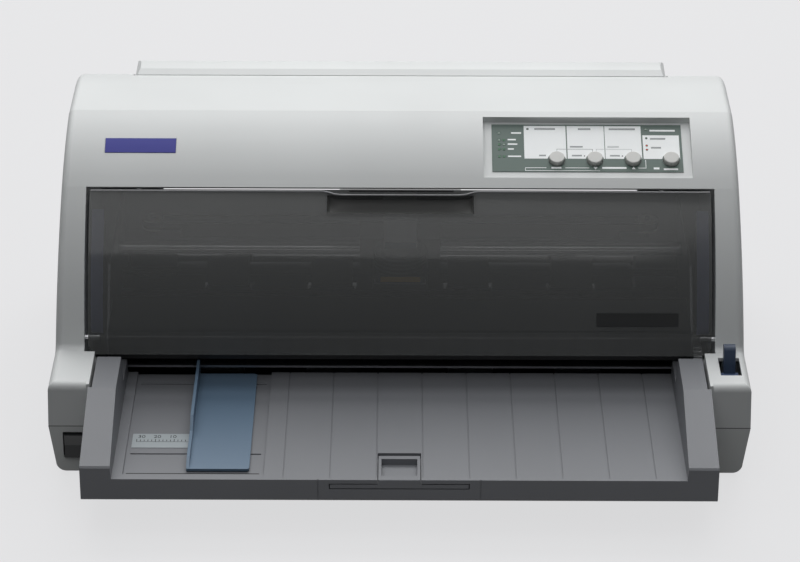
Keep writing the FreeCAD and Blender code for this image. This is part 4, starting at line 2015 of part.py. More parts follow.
def make_board(label, ends, front_y, shares, top_z, sockets):
    """A circuit board on its standoffs, with its larger parts and its rear sockets."""
    left_x, right_x = ends
    low_z = CASE_FLOOR_Z + WALL + BOARD_LIFT
    high_z = low_z + BOARD_THICK
    shapes = [box(left_x, right_x, front_y, BOARD_REAR_Y, low_z, high_z)]
    inset = STANDOFF_INSET
    for x in (left_x + inset, right_x - inset):
        for y in (front_y + inset, BOARD_REAR_Y - inset):
            shapes.append(rod("z", CASE_FLOOR_Z + WALL, low_z, STANDOFF, x=x, y=y))
    width, depth = right_x - left_x, BOARD_REAR_Y - front_y
    for left, right, front, rear in shares:
        across_x = (left_x + width * left, left_x + width * right)
        shapes.append(box(*across_x, front_y + depth * front, front_y + depth * rear, high_z, top_z))
    tools = []
    gap, wall = SOCKET_GAP, SOCKET_WALL
    rear_y = CASE_REAR_Y - SEAT_GAP
    socket_front_y = rear_y - SOCKET_DEPTH - wall
    bottom_z, head_z = REAR_PORT_LOW_Z + gap, REAR_PORT_HIGH_Z - gap
    for low_x, high_x in sockets:
        outside = (low_x + gap, high_x - gap)
        inside = (low_x + gap + wall, high_x - gap - wall)
        shapes.append(box(*outside, socket_front_y, rear_y, bottom_z, head_z))
        shapes.append(box(*outside, BOARD_REAR_Y - inset, socket_front_y + wall, low_z, CHIP_TOP_Z))
        hollow_y = (rear_y - SOCKET_DEPTH, rear_y + OVERRUN)
        tools.append(box(*inside, *hollow_y, bottom_z + wall, head_z - wall))
    return piece(cut(fuse(shapes), tools), label)


SOCKETS = [PARALLEL_X, USB_X]
main_board = make_board("main_board", MAIN_X, MAIN_FRONT_Y, CHIP_SHARES, CHIP_TOP_Z, SOCKETS)
power_supply = make_board("power_supply", SUPPLY_X, SUPPLY_FRONT_Y, BLOCK_SHARES, BLOCK_TOP_Z, [INLET_X])


def finish():
    """Checks every object and writes each sub-part to a file of its own name."""
    doc.recompute()
    for thing in doc.Objects:
        if "Invalid" in thing.State or "Error" in thing.State:
            raise RuntimeError(f"{thing.Name} ({thing.Label}) did not build: {thing.State}")
    os.makedirs("parts", exist_ok=True)
    for made in pieces:
        shape = made.Shape
        if shape.isNull() or not shape.isValid() or not shape.Solids:
            raise RuntimeError(f"{made.Label} has no sound shape")
        shape.exportStep(f"parts/{made.Label}.step")
        print(f"{made.Label}: {len(shape.Solids)} solids, {shape.Volume / 1000:.1f} cm3")


finish()
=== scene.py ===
# %% [markdown]
# # A flat-bed dot matrix printer
# The printer comes as exact CAD pieces in metres. This script lights it, sets up a camera for it and
# gives every piece its finish. It also adds the thin things that CAD leaves out, such as the print on
# the key panel, the numbers on the paper scale and the marks on the moulded plastic.

import math

import bmesh
import bpy
from mathutils import Matrix, Vector


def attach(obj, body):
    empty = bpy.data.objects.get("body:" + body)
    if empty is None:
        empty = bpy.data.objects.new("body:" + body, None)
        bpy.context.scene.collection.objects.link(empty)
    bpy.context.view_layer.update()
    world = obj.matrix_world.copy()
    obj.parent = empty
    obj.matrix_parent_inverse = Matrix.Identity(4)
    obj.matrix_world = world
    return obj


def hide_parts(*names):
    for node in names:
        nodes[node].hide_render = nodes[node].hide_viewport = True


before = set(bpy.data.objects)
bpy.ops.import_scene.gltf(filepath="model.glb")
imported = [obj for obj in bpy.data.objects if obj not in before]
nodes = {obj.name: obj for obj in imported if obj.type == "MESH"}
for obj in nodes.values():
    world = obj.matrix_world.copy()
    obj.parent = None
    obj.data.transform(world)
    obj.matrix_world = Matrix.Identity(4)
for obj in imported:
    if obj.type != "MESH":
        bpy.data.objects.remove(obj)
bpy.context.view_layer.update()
MM = 0.001
print("CAD pieces:", len(nodes))

# %% [markdown]
# ## The camera
# The picture was taken from in front and 27 degrees above, with a long lens, so the sides of
# the case hardly close in towards the back. The camera leans by a fifth of a degree.

# %% Place the camera
CAMERA_PLACE = (0, -1.9768, 1.1026)
CAMERA_DOWN = 27
CAMERA_LEAN = 0.2
SENSOR_WIDTH = 36
FOCAL_LENGTH = 141.3
FAR_END = 50
lens = bpy.data.cameras.new("camera")
lens.sensor_width = SENSOR_WIDTH
lens.lens = FOCAL_LENGTH
lens.clip_end = FAR_END
camera = bpy.data.objects.new("camera", lens)
bpy.context.scene.collection.objects.link(camera)
tilt = Matrix.Rotation(math.radians(90 - CAMERA_DOWN), 4, "X")
lean = Matrix.Rotation(math.radians(CAMERA_LEAN), 4, "Z")
camera.matrix_world = Matrix.Translation(CAMERA_PLACE) @ tilt @ lean
bpy.context.scene.camera = camera
print("camera, metres:", CAMERA_PLACE)

# %% [markdown]
# ## Light
# The case top is nearly white while the upright faces are dark grey, so most of the light comes
# from a big soft box above and behind. The case then shades the shelf in front of the window,
# and the shelf gets paler towards its front edge. A sky that is pale above and dark at the
# horizon fills in the rest, and the smoke window reflects it together with the front box.

# %% Set the view and the sky
scene = bpy.context.scene
scene.view_settings.view_transform = "Standard"
SKY_TOP = (0.30, 0.31, 0.32, 1)
SKY_LOW = (0.030, 0.031, 0.033, 1)
SKY_STOPS = (0.25, 0.9)
world = bpy.data.worlds.new("studio sky")
scene.world = world
world.use_nodes = True
sky_nodes, sky_links = world.node_tree.nodes, world.node_tree.links
sky_place = sky_nodes.new("ShaderNodeTexCoord")
sky_split = sky_nodes.new("ShaderNodeSeparateXYZ")
sky_ramp = sky_nodes.new("ShaderNodeValToRGB")
sky_links.new(sky_place.outputs["Generated"], sky_split.inputs[0])
sky_links.new(sky_split.outputs["Z"], sky_ramp.inputs[0])
sky_links.new(sky_ramp.outputs["Color"], sky_nodes["Background"].inputs["Color"])
for stop, position, colour in zip(sky_ramp.color_ramp.elements, SKY_STOPS, (SKY_LOW, SKY_TOP)):
    stop.position = position
    stop.color = colour
print("sky from", SKY_LOW[:3], "to", SKY_TOP[:3])


# %% Hang the three soft boxes
def soft_box(name, place, width, depth, watts):
    """A rectangular lamp that faces the printer."""
    lamp = bpy.data.lights.new(name, "AREA")
    lamp.shape = "RECTANGLE"
    lamp.size, lamp.size_y, lamp.energy = width, depth, watts
    made = bpy.data.objects.new(name, lamp)
    direction = Vector(LAMP_AIM) - Vector(place)
    turn = direction.to_track_quat("-Z", "Y").to_matrix().to_4x4()
    made.matrix_world = Matrix.Translation(place) @ turn
    scene.collection.objects.link(made)


LAMP_AIM = (0, 0, 0.1)
soft_box("back box", (0, 1.54, 1.81), 3.0, 1.5, 46)
soft_box("overhead", (0, 0.1, 2.4), 1.8, 1.2, 12)
soft_box("front fill", (-0.3, -1.7, 2.3), 1.6, 1.2, 6)
print("lamps:", len(bpy.data.lights))

# %% [markdown]
# ## The floor
# The background is an even pale grey. The camera sees a floor that mostly glows by itself and so
# keeps only a faint shadow. All other light meets a dark floor without a glow, because the front
# of the printer stays dark although the ground is pale.

# %% Lay the floor
FLOOR_HALF = 12
ground = bmesh.new()
bmesh.ops.create_grid(ground, x_segments=1, y_segments=1, size=FLOOR_HALF)
floor_mesh = bpy.data.meshes.new("floor")
ground.to_mesh(floor_mesh)
ground.free()
floor = bpy.data.objects.new("floor", floor_mesh)
scene.collection.objects.link(floor)
print("floor, metres:", 2 * FLOOR_HALF)

# %% Paint the floor
FLOOR_PALE = (0.11, 0.11, 0.112, 1)
FLOOR_DARK = (0.08, 0.08, 0.08, 1)
FLOOR_GLOW = (0.68, 0.68, 0.688, 1)
floor_finish = bpy.data.materials.new("studio floor")
floor_finish.use_nodes = True
floor_nodes, floor_links = floor_finish.node_tree.nodes, floor_finish.node_tree.links
light_path = floor_nodes.new("ShaderNodeLightPath")
seen = light_path.outputs["Is Camera Ray"]
for ray in ("Is Glossy Ray", "Is Transmission Ray"):
    either = floor_nodes.new("ShaderNodeMath")
    either.operation = "MAXIMUM"
    floor_links.new(seen, either.inputs[0])
    floor_links.new(light_path.outputs[ray], either.inputs[1])
    seen = either.outputs[0]
floor_mix = floor_nodes.new("ShaderNodeMix")
floor_mix.data_type = "RGBA"
floor_mix.inputs["A"].default_value = FLOOR_DARK
floor_mix.inputs["B"].default_value = FLOOR_PALE
floor_links.new(seen, floor_mix.inputs["Factor"])
floor_shader = floor_nodes["Principled BSDF"]
floor_links.new(floor_mix.outputs["Result"], floor_shader.inputs["Base Color"])
floor_links.new(seen, floor_shader.inputs["Emission Strength"])
floor_shader.inputs["Emission Color"].default_value = FLOOR_GLOW
floor_shader.inputs["Roughness"].default_value = 1
floor_shader.inputs["Specular IOR Level"].default_value = 0
floor_mesh.materials.append(floor_finish)
print("floor painted")


# %% [markdown]
# ## Finishes
# Almost every piece is moulded plastic with a fine spark-eroded grain, or plain sheet metal.
# Each finish is one Principled shader. A fine noise makes the grain as a bump, and a broad one
# shifts the colour and the roughness a little, because a real moulding is never quite even.

# %% Write the helpers for a finish
def new_finish(name, roughness, metallic=0.0, specular=0.5):
    """A material with one Principled shader, and its node tree."""
    made = bpy.data.materials.new(name)
    made.use_nodes = True
    shader = made.node_tree.nodes["Principled BSDF"]
    shader.inputs["Roughness"].default_value = roughness
    shader.inputs["Metallic"].default_value = metallic
    shader.inputs["Specular IOR Level"].default_value = specular
    return made, made.node_tree, shader


def noise(tree, scale, detail=2.0, stretch=(1, 1, 1)):
    """A noise pattern fixed to the piece, that many cells to the metre."""
    place = tree.nodes.new("ShaderNodeTexCoord")
    spread = tree.nodes.new("ShaderNodeMapping")
    spread.inputs["Scale"].default_value = stretch
    pattern = tree.nodes.new("ShaderNodeTexNoise")
    pattern.inputs["Scale"].default_value = scale
    pattern.inputs["Detail"].default_value = detail
    tree.links.new(place.outputs["Object"], spread.inputs["Vector"])
    tree.links.new(spread.outputs["Vector"], pattern.inputs["Vector"])
    return pattern.outputs["Fac"]


def shift_colour(tree, shader, colour, amount, pattern):
    """Lets a pattern move the colour between a little darker and a little paler."""
    ramp = tree.nodes.new("ShaderNodeValToRGB")
    low, high = ramp.color_ramp.elements
    low.position, high.position = 0.3, 0.7
    low.color = (*[part * (1 - amount) for part in colour], 1)
    high.color = (*[min(part * (1 + amount), 1) for part in colour], 1)
    tree.links.new(pattern, ramp.inputs["Fac"])
    tree.links.new(ramp.outputs["Color"], shader.inputs["Base Color"])


def shift_roughness(tree, shader, low, high, pattern):
    """Lets a pattern move the roughness between two values."""
    spread = tree.nodes.new("ShaderNodeMapRange")
    spread.inputs["To Min"].default_value = low
    spread.inputs["To Max"].default_value = high
    tree.links.new(pattern, spread.inputs["Value"])
    tree.links.new(spread.outputs["Result"], shader.inputs["Roughness"])


def raise_grain(tree, shader, depth, pattern):
    """Turns a pattern into bumps that many metres high."""
    bump = tree.nodes.new("ShaderNodeBump")
    bump.inputs["Strength"].default_value = 1
    bump.inputs["Distance"].default_value = depth
    tree.links.new(pattern, bump.inputs["Height"])
    tree.links.new(bump.outputs["Normal"], shader.inputs["Normal"])


def moulded(name, colour, roughness=0.55, grain=0.00002, grain_scale=1500, uneven=0.03):
    """Grained moulded plastic."""
    made, tree, shader = new_finish(name, roughness)
    shift_colour(tree, shader, colour, uneven, noise(tree, 9))
    shift_roughness(tree, shader, roughness - 0.04, roughness + 0.04, noise(tree, 25))
    raise_grain(tree, shader, grain, noise(tree, grain_scale, 3.0))
    return made


def sheet_metal(name, colour, roughness, stretch=(1, 1, 1), scratch=0.000008, scale=400):
    """Bare or plated metal with fine marks, which run along an axis where stretch is low."""
    made, tree, shader = new_finish(name, roughness, metallic=1.0)
    shift_colour(tree, shader, colour, 0.08, noise(tree, 30))
    marks = noise(tree, scale, 4.0, stretch)
    shift_roughness(tree, shader, roughness - 0.07, roughness + 0.09, marks)
    raise_grain(tree, shader, scratch, marks)
    return made


# %% Make the finishes of the case
case_light = moulded("light case plastic", (0.72, 0.735, 0.73), 0.5)
# The lower case is the same plastic as the upper case; its darker colour is painted shade.
case_lower_shaded = moulded("lower case plastic with painted shade", (0.66, 0.675, 0.665), 0.52)
hatch_light = moulded("hatch plastic", (0.74, 0.755, 0.75), 0.5)
shelf_dark = moulded("dark shelf plastic", (0.21, 0.216, 0.232), 0.5, grain=0.00003)
black_moulded = moulded("black moulded plastic", (0.022, 0.023, 0.024), 0.45)
blue_moulded = moulded("slate blue plastic", (0.13, 0.20, 0.285), 0.42)
lever_blue = moulded("dark blue lever plastic", (0.03, 0.052, 0.10), 0.4)
key_pale = moulded("pale key plastic", (0.66, 0.66, 0.635), 0.38, grain=0.000006)
white_acetal = moulded("white gear plastic", (0.78, 0.77, 0.70), 0.35, grain=0.000004)
rubber_black = moulded("black rubber", (0.02, 0.02, 0.02), 0.75, grain=0.00003, grain_scale=900)
cable_white = moulded("white flat cable", (0.72, 0.73, 0.74), 0.4, grain=0.000004)
print("moulded finishes made")


# %% [markdown]
# The smoke window is a clear plastic with black dye in it. A third of the light goes through its
# two faces, so what lies behind looks dim, and fine scratches and dust give its surface a grey
# haze of its own. Its faces are polished, so it also mirrors the studio.

# %% Make the smoke plastic
def make_smoke():
    """Clear plastic with black dye, polished on both faces."""
    made, tree, shader = new_finish("smoke window plastic", 0.09, specular=0.6)
    shift_colour(tree, shader, SMOKE_GREY, 0.06, noise(tree, 7))
    shader.inputs["Alpha"].default_value = SMOKE_ALPHA
    shift_roughness(tree, shader, 0.07, 0.12, noise(tree, 60))
    return made


SMOKE_GREY = (0.168, 0.172, 0.170)
SMOKE_ALPHA = 0.44
smoke = make_smoke()
print("smoke alpha:", SMOKE_ALPHA)

# %% Make the metals
steel_bright = sheet_metal("bright steel", (0.60, 0.61, 0.62), 0.28, stretch=(0.05, 1, 1))
steel_rod = sheet_metal("polished rod", (0.66, 0.67, 0.68), 0.16, stretch=(0.03, 1, 1), scratch=0.000003)
# The tractor rods and the rear and chassis plates lie in the shade inside the case; their near black
# colour is painted shade.
shade_darkened_rod = sheet_metal("rod darkened as painted shade", (0.09, 0.092, 0.095), 0.4, stretch=(0.03, 1, 1))
zinc = sheet_metal("zinc plated sheet", (0.42, 0.43, 0.45), 0.42, scale=120)
shade_darkened_sheet = sheet_metal("sheet darkened as painted shade", (0.075, 0.077, 0.08), 0.5, scale=120)
aluminium_cast = sheet_metal("cast aluminium", (0.22, 0.225, 0.23), 0.5, scale=700, scratch=0.00002)
print("metals made")


# %% Make the board
def make_board_finish():
    """Green solder mask over copper, whose tracks show as a faint relief."""
    made, tree, shader = new_finish("green circuit board", 0.35)
    place = tree.nodes.new("ShaderNodeTexCoord")
    tracks = tree.nodes.new("ShaderNodeTexBrick")
    tracks.inputs["Scale"].default_value = 60
    tracks.inputs["Color1"].default_value = (0.03, 0.17, 0.09, 1)
    tracks.inputs["Color2"].default_value = (0.035, 0.20, 0.10, 1)
    tracks.inputs["Mortar"].default_value = (0.02, 0.12, 0.06, 1)
    tracks.inputs["Mortar Size"].default_value = 0.03
    tree.links.new(place.outputs["Object"], tracks.inputs["Vector"])
    tree.links.new(tracks.outputs["Color"], shader.inputs["Base Color"])
    raise_grain(tree, shader, 0.00003, tracks.outputs["Fac"])
    return made


board_green = make_board_finish()
print("board finish made")


# %% Make the films, the prints and the lenses
def printed(name, colour, roughness=0.4, grain=0.000003, uneven=0.01):
    """A smooth film or ink."""
    return moulded(name, colour, roughness, grain=grain, uneven=uneven)


def make_lens_finish(name, colour):
    """A small clear lens over a lamp that is off."""
    made, tree, shader = new_finish(name, 0.15)
    shift_colour(tree, shader, colour, 0.1, noise(tree, 300))
    return made


label_grey = printed("grey-green label film", (0.085, 0.132, 0.112), grain=0.000004, uneven=0.02)
scale_film = printed("scale film", (0.40, 0.44, 0.46), 0.38, grain=0.000004, uneven=0.02)
badge_blue = printed("deep blue plate", (0.014, 0.018, 0.29), 0.5, grain=0.000002, uneven=0.02)
print_white = printed("white print", (0.94, 0.96, 0.96))
print_pale = printed("pale print", (0.55, 0.57, 0.57))
print_grey = printed("grey print", (0.30, 0.32, 0.32))
print_black = printed("black print", (0.03, 0.032, 0.035))
lens_green = make_lens_finish("green lamp lens", (0.10, 0.22, 0.13))
lens_red = make_lens_finish("red lamp lens", (0.55, 0.05, 0.04))
lens_grey = make_lens_finish("grey lamp lens", (0.12, 0.13, 0.13))
lens_pale = make_lens_finish("pale lamp lens", (0.42, 0.46, 0.44))
print("films, prints and lenses made")

# %% Make the small finishes
# This black is painted shade in the tray slot, in the gap behind the finger tab and under the window's
# lip; it is also the dark seam of the case.
shade_and_seam_black = moulded("black of painted shade and seams", (0.006, 0.006, 0.007), 0.6, grain=0.000003)
# The scoop lining is an opaque dark grey: painted shade inside the finger scoop.
scoop_shade_plastic = moulded("scoop plastic darkened as painted shade", (0.12, 0.121, 0.117), 0.45, grain=0.000003)
# Painted highlight: this paler glossy grey lies on the window's rounded top edge.
painted_edge_highlight = moulded("painted window edge highlight", (0.30, 0.30, 0.31), 0.2, grain=0.000002)
name_black = moulded("bare name plate", (0.048, 0.049, 0.049), 0.2, grain=0.000002)
side_blue = moulded("blue side strip", (0.16, 0.18, 0.34), 0.5)
plate_yellow = moulded("yellow head plate", (0.80, 0.52, 0.10), 0.45)
foot_blue = moulded("paler blue lever plastic", (0.075, 0.115, 0.22), 0.4)
print("small finishes made")

# %% Give each CAD piece its finish
FINISHES = {
    case_light: ["upper_case"],
    case_lower_shaded: ["lower_case"],
    hatch_light: ["rear_hatch"],
    shelf_dark: ["front_sheet_guide", "sheet_extension"],
    smoke: ["front_cover"],
    blue_moulded: ["edge_guide"],
    lever_blue: ["release_lever"],
    key_pale: ["key_1", "key_2", "key_3", "key_4"],
    black_moulded: [
        "power_rocker",
        "switch_housing",
        "platen",
        "upper_sheet_guide",
        "carriage",
        "tractor_left",
        "tractor_right",
    ],
    white_acetal: [
        "idler_gear_1",
        "idler_gear_2",
        "idler_gear_3",
        "motor_pinion",
        "drive_pulley",
        "idler_pulley",
        "sprocket_left",
        "sprocket_right",
    ],
    rubber_black: ["rubber_feet", "timing_belt", "front_pinch_roller", "rear_pinch_roller"],
    cable_white: ["head_cable"],
    steel_bright: [
        "hinge_pins",
        "case_screws",
        "lever_shaft",
        "steel_strip",
        "ribbon_shield",
        "front_feed_roller",
        "rear_feed_roller",
    ],
    shade_darkened_rod: ["tractor_shaft", "tractor_rod"],
    shade_darkened_sheet: ["rear_sheet_plate", "chassis_plate"],
    steel_rod: ["guide_rod"],
    zinc: [
        "side_frame_left",
        "side_frame_right",
        "front_sheet_plate",
        "feed_motor",
        "carriage_motor",
        "carriage_rail",
        "pulley_brackets",
    ],
    aluminium_cast: ["print_head"],
    board_green: ["panel_board", "main_board", "power_supply"],
    label_grey: ["panel_label"],
    scale_film: ["scale_label"],
    badge_blue: ["badge_plate"],
    lens_green: ["led_lenses"],
}
for finish, names in FINISHES.items():
    for name in names:
        slots = nodes[name].data.materials
        slots.clear()
        slots.append(finish)
print("pieces without a finish:", set(nodes) - {name for names in FINISHES.values() for name in names})

# %% [markdown]
# ## Pieces that the CAD leaves to the scene
# The rest are thin things: print, bare plates, a painted highlight along an edge and painted shade
# inside a slot and gaps. Each is a small bmesh. Its shape is bent or turned to its place in its mesh, so
# the object stays at the origin, and it rides on the body that carries it.

# %% Write the helpers for a new piece
def finish_piece(name, shape, finish, body):
    """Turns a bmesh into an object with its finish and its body."""
    bmesh.ops.recalc_face_normals(shape, faces=shape.faces)
    mesh = bpy.data.meshes.new(name)
    shape.to_mesh(mesh)
    shape.free()
    mesh.materials.append(finish)
    made = bpy.data.objects.new(name, mesh)
    scene.collection.objects.link(made)
    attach(made, body)
    return made


def add_block(shape, x_ends, y_ends, z_ends):
    """Adds a block between those ends, in millimetres."""
    ends = (x_ends, y_ends, z_ends)
    middle = Vector([(low + high) / 2 * MM for low, high in ends])
    spread = [(high - low) * MM for low, high in ends]
    grow = Matrix.Diagonal((*spread, 1))
    bmesh.ops.create_cube(shape, size=1, matrix=Matrix.Translation(middle) @ grow)


def soften_edges(shape, width):
    """Rounds every edge of a small block by that many millimetres."""
    bmesh.ops.bevel(
        shape, geom=shape.edges[:], offset=width * MM, affect="EDGES",
        segments=2, profile=0.5, material=-1
    )


def block_piece(name, blocks, finish, body, softness=0.0):
    """A piece made of one or more blocks, each given by its ends in x, y and z."""
    shape = bmesh.new()
    for ends in blocks:
        add_block(shape, *ends)
    if softness:
        soften_edges(shape, softness)
    return finish_piece(name, shape, finish, body)


# %% [markdown]
# ## The printed key panel
# The panel is a sunk flat plate with a printed film on it. The print is made as very thin patches
# that lie on the film, so it also shows in the exported meshes. They are drawn on a flat sheet,
# with x along the panel and y up the panel, and one matrix then lays them on the slope. All
# numbers are millimetres.

# %% Measure the panel
PANEL_FOOT = Vector((0, 5.82, 173.06)) * MM
PANEL_SLOPE = math.radians(24.28)
FILM_TOP = 0.5
PRINT_THICK = 0.06
KEY_XS = [109.5 + 26.7 * index for index in range(4)]
KEY_UP = 16.7
KEY_RING = 6.4
RING_SIDES = 24
lay_on_panel = Matrix.Translation(PANEL_FOOT) @ Matrix.Rotation(PANEL_SLOPE, 4, "X")


# %% Write the helpers for print
def add_patch(shape, x_ends, up_ends):
    """Adds one flat printed patch to a sheet."""
    width, height = x_ends[1] - x_ends[0], up_ends[1] - up_ends[0]
    middle = Vector((sum(x_ends) / 2, sum(up_ends) / 2, FILM_TOP)) * MM
    grow = Matrix.Diagonal((width / 2 * MM, height / 2 * MM, 1, 1))
    place = Matrix.Translation(middle) @ grow
    bmesh.ops.create_grid(shape, x_segments=1, y_segments=1, size=1, matrix=place)


def open_key_rings(shape):
    """Cuts a round opening around each key out of the patches."""
    for key_x in KEY_XS:
        centre = Vector((key_x, KEY_UP, FILM_TOP)) * MM
        for side in range(RING_SIDES):
            turn = math.tau * side / RING_SIDES
            out = Vector((math.cos(turn), math.sin(turn), 0))
            on_ring = centre + out * KEY_RING * MM
            every = shape.verts[:] + shape.edges[:] + shape.faces[:]
            bmesh.ops.bisect_plane(shape, geom=every, plane_co=on_ring, plane_no=out)
        inside = [
            face for face in shape.faces
            if (face.calc_center_median() - centre).length < KEY_RING * MM
        ]
        bmesh.ops.delete(shape, geom=inside, context="FACES")


def thicken(shape, height):
    """Gives the flat patches a thickness, in millimetres."""
    raised = bmesh.ops.extrude_face_region(shape, geom=shape.faces[:])
    corners = [part for part in raised["geom"] if isinstance(part, bmesh.types.BMVert)]
    bmesh.ops.translate(shape, verts=corners, vec=(0, 0, height * MM))


def print_on_panel(name, patches, finish, rings=False, height=PRINT_THICK):
    """Lays a set of printed patches on the panel."""
    sheet = bmesh.new()
    for x_ends, up_ends in patches:
        add_patch(sheet, x_ends, up_ends)
    if rings:
        open_key_rings(sheet)
    thicken(sheet, height)
    bmesh.ops.transform(sheet, matrix=lay_on_panel, verts=sheet.verts)
    return finish_piece(name, sheet, finish, "housing")


# %% Print the white cells
CELLS = [
    ((86.9, 116.4), (17.8, 48.3)),
    ((117.2, 143.3), (17.8, 48.3)),
    ((143.8, 169.4), (17.8, 48.3)),
    ((170.4, 196.0), (17.8, 39.8)),
]
print_on_panel("panel_cells", CELLS, print_white, rings=True)
print("cells:", len(CELLS))

# %% Print the white lines and bars on the film
WHITE_BARS = [
    ((87.2, 102.0), (9.1, 9.6)),
    ((87.2, 87.6), (6.6, 9.6)),
    ((87.2, 139.5), (6.5, 6.9)),
    ((115.3, 132.0), (9.1, 9.6)),
    ((166.2, 171.9), (9.1, 9.6)),
    ((171.5, 171.9), (9.1, 16.9)),
    ((105.5, 112.5), (8.6, 10.2)),
    ((141.0, 158.0), (8.6, 10.2)),
    ((177.0, 181.0), (8.2, 10.0)),
    ((184.0, 194.0), (7.6, 9.2)),
    ((77.9, 85.0), (40.9, 42.3)),
    ((75.4, 81.2), (34.7, 36.0)),
    ((75.4, 82.2), (30.5, 31.8)),
    ((75.4, 79.6), (26.0, 27.3)),
    ((75.4, 84.6), (19.2, 20.5)),
    ((175.6, 193.5), (43.4, 45.0)),
]
print_on_panel("panel_white_marks", WHITE_BARS, print_white)
print("white marks:", len(WHITE_BARS))

# %% Print the grey bars and links in the cells
GREY_BARS = [
    ((94.4, 109.0), (44.6, 46.2)),
    ((125.2, 134.0), (44.6, 46.2)),
    ((146.9, 165.4), (44.6, 46.2)),
    ((175.6, 186.4), (35.8, 37.3)),
    ((176.0, 183.0), (27.5, 28.9)),
    ((119.0, 128.0), (28.2, 29.5)),
    ((97.2, 102.0), (20.0, 21.3)),
    ((120.2, 127.2), (20.0, 21.3)),
    ((146.9, 153.8), (20.0, 21.3)),
    ((109.8, 134.7), (26.4, 26.75)),
    ((109.6, 109.95), (24.2, 26.75)),
    ((134.55, 134.9), (24.2, 26.75)),
]
print_on_panel("panel_grey_marks", GREY_BARS, print_grey, height=2 * PRINT_THICK)
PALE_BARS = [
    ((145.4, 153.4), (28.2, 29.5)),
    ((137.4, 162.2), (26.4, 26.75)),
    ((137.2, 137.55), (24.2, 26.75)),
    ((162.0, 162.35), (24.2, 26.75)),
]
print_on_panel("panel_pale_marks", PALE_BARS, print_pale, height=2 * PRINT_THICK)
print("grey marks:", len(GREY_BARS), "pale marks:", len(PALE_BARS))


# %% Print the dots, the arrows and the lamp caps
def dots_on_panel(name, places, radius, finish, sides=20, turn=0.0):
    """Lays small round or three-sided marks on the panel."""
    height = 3 * PRINT_THICK
    sheet = bmesh.new()
    for x, up in places:
        at = Matrix.Translation(Vector((x, up, FILM_TOP + height / 2)) * MM)
        spin = Matrix.Rotation(math.radians(turn), 4, "Z")
        bmesh.ops.create_cone(
            sheet, cap_ends=True, segments=sides, radius1=radius * MM, radius2=radius * 0.85 * MM,
            depth=height * MM, matrix=at @ spin
        )
    bmesh.ops.transform(sheet, matrix=lay_on_panel, verts=sheet.verts)
    return finish_piece(name, sheet, finish, "housing")


GREY_LAMPS = [(89.5, 45.3), (173.0, 37.0)]
RED_LAMPS = [(173.0, 30.2), (173.0, 26.3)]
PALE_LAMPS = [(69.4, 41.5), (69.4, 34.9), (72.7, 30.8), (173.0, 45.3)]
dots_on_panel("panel_dots", [(129.0, 20.4), (155.6, 20.4)], 0.55, print_black)
dots_on_panel("panel_arrow_down", [(136.4, 9.3)], 1.7, print_white, sides=3, turn=180)
dots_on_panel("panel_arrow_up", [(163.0, 9.1)], 1.7, print_white, sides=3)
dots_on_panel("lamp_caps_grey", GREY_LAMPS, 0.85, lens_grey)
dots_on_panel("lamp_caps_red", RED_LAMPS, 0.8, lens_red)
dots_on_panel("lamp_caps_pale", PALE_LAMPS, 0.8, lens_pale)
print("lamp caps:", len(GREY_LAMPS + RED_LAMPS + PALE_LAMPS))

# %% [markdown]
# ## The paper scale
# A thin printed strip lies in the tray, with a tick every few millimetres and plain numbers. The
# strip ends under the edge guide. It stands in for the CAD strip, which runs on a little further.

# %% Make the scale strip
TRAY_FLOOR_Z = 39.7
SCALE_LEFT, SCALE_RIGHT = -181.0, -104.0
SCALE_FRONT, SCALE_REAR = -140.4, -121.7
SCALE_TOP_Z = TRAY_FLOOR_Z + 0.4
SCALE_EDGE = 0.1
strip = ((SCALE_LEFT, SCALE_RIGHT), (SCALE_FRONT, SCALE_REAR), (TRAY_FLOOR_Z, SCALE_TOP_Z))
paper_scale = block_piece("paper_scale", [strip], scale_film, "housing", SCALE_EDGE)
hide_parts("scale_label")
print("scale strip:", SCALE_RIGHT - SCALE_LEFT, "mm long")

# %% Draw the ticks of the scale
TICK_PITCH = 2.54
TICK_HALF = 0.25
TICK_REACH, LONG_TICK_REACH = 2.2, 3.4
TICKS_TO_A_LONG_ONE = 5
TICK_Y = -130.7
BASE_LINE_Y = (TICK_Y - 1.9, TICK_Y - 1.6)
SCALE_MARGIN = 3
tick_z = (SCALE_TOP_Z, SCALE_TOP_Z + PRINT_THICK)
tick_count = int((SCALE_RIGHT - SCALE_LEFT - SCALE_MARGIN - 1) / TICK_PITCH)
tick_blocks = []
for index in range(tick_count + 1):
    tick_x = SCALE_LEFT + SCALE_MARGIN + TICK_PITCH * index
    reach = TICK_REACH if index % TICKS_TO_A_LONG_ONE else LONG_TICK_REACH
    tick_blocks.append(
        ((tick_x - TICK_HALF, tick_x + TICK_HALF), (TICK_Y - reach / 2, TICK_Y + reach / 2), tick_z)
    )
tick_blocks.append(((SCALE_LEFT + SCALE_MARGIN, SCALE_RIGHT - SCALE_MARGIN), BASE_LINE_Y, tick_z))
block_piece("scale_ticks", tick_blocks, print_black, "housing")
print("ticks:", tick_count + 1)


# %% Write the numbers of the scale
def write_number(words, x):
    """A flat number on the scale, turned into a mesh before it is placed."""
    letters = bpy.data.curves.new("number " + words, "FONT")
    letters.body = words
    letters.size = NUMBER_HEIGHT * MM
    letters.extrude = PRINT_THICK / 2 * MM
    letters.align_x = "CENTER"
    holder = bpy.data.objects.new("number", letters)
    shape = bmesh.new()
    shape.from_mesh(holder.to_mesh())
    bpy.data.objects.remove(holder)
    bpy.data.curves.remove(letters)
    place = Vector((x, NUMBER_Y, SCALE_TOP_Z + PRINT_THICK / 2)) * MM
    bmesh.ops.translate(shape, verts=shape.verts, vec=place)
    return finish_piece("scale_number_" + words, shape, print_black, "housing")


NUMBER_HEIGHT = 5.2
NUMBER_Y = -127.2
NUMBER_XS = {"30": -174.9, "20": -164.3, "10": -153.8}
for words, number_x in NUMBER_XS.items():
    write_number(words, number_x)
print("numbers:", list(NUMBER_XS))
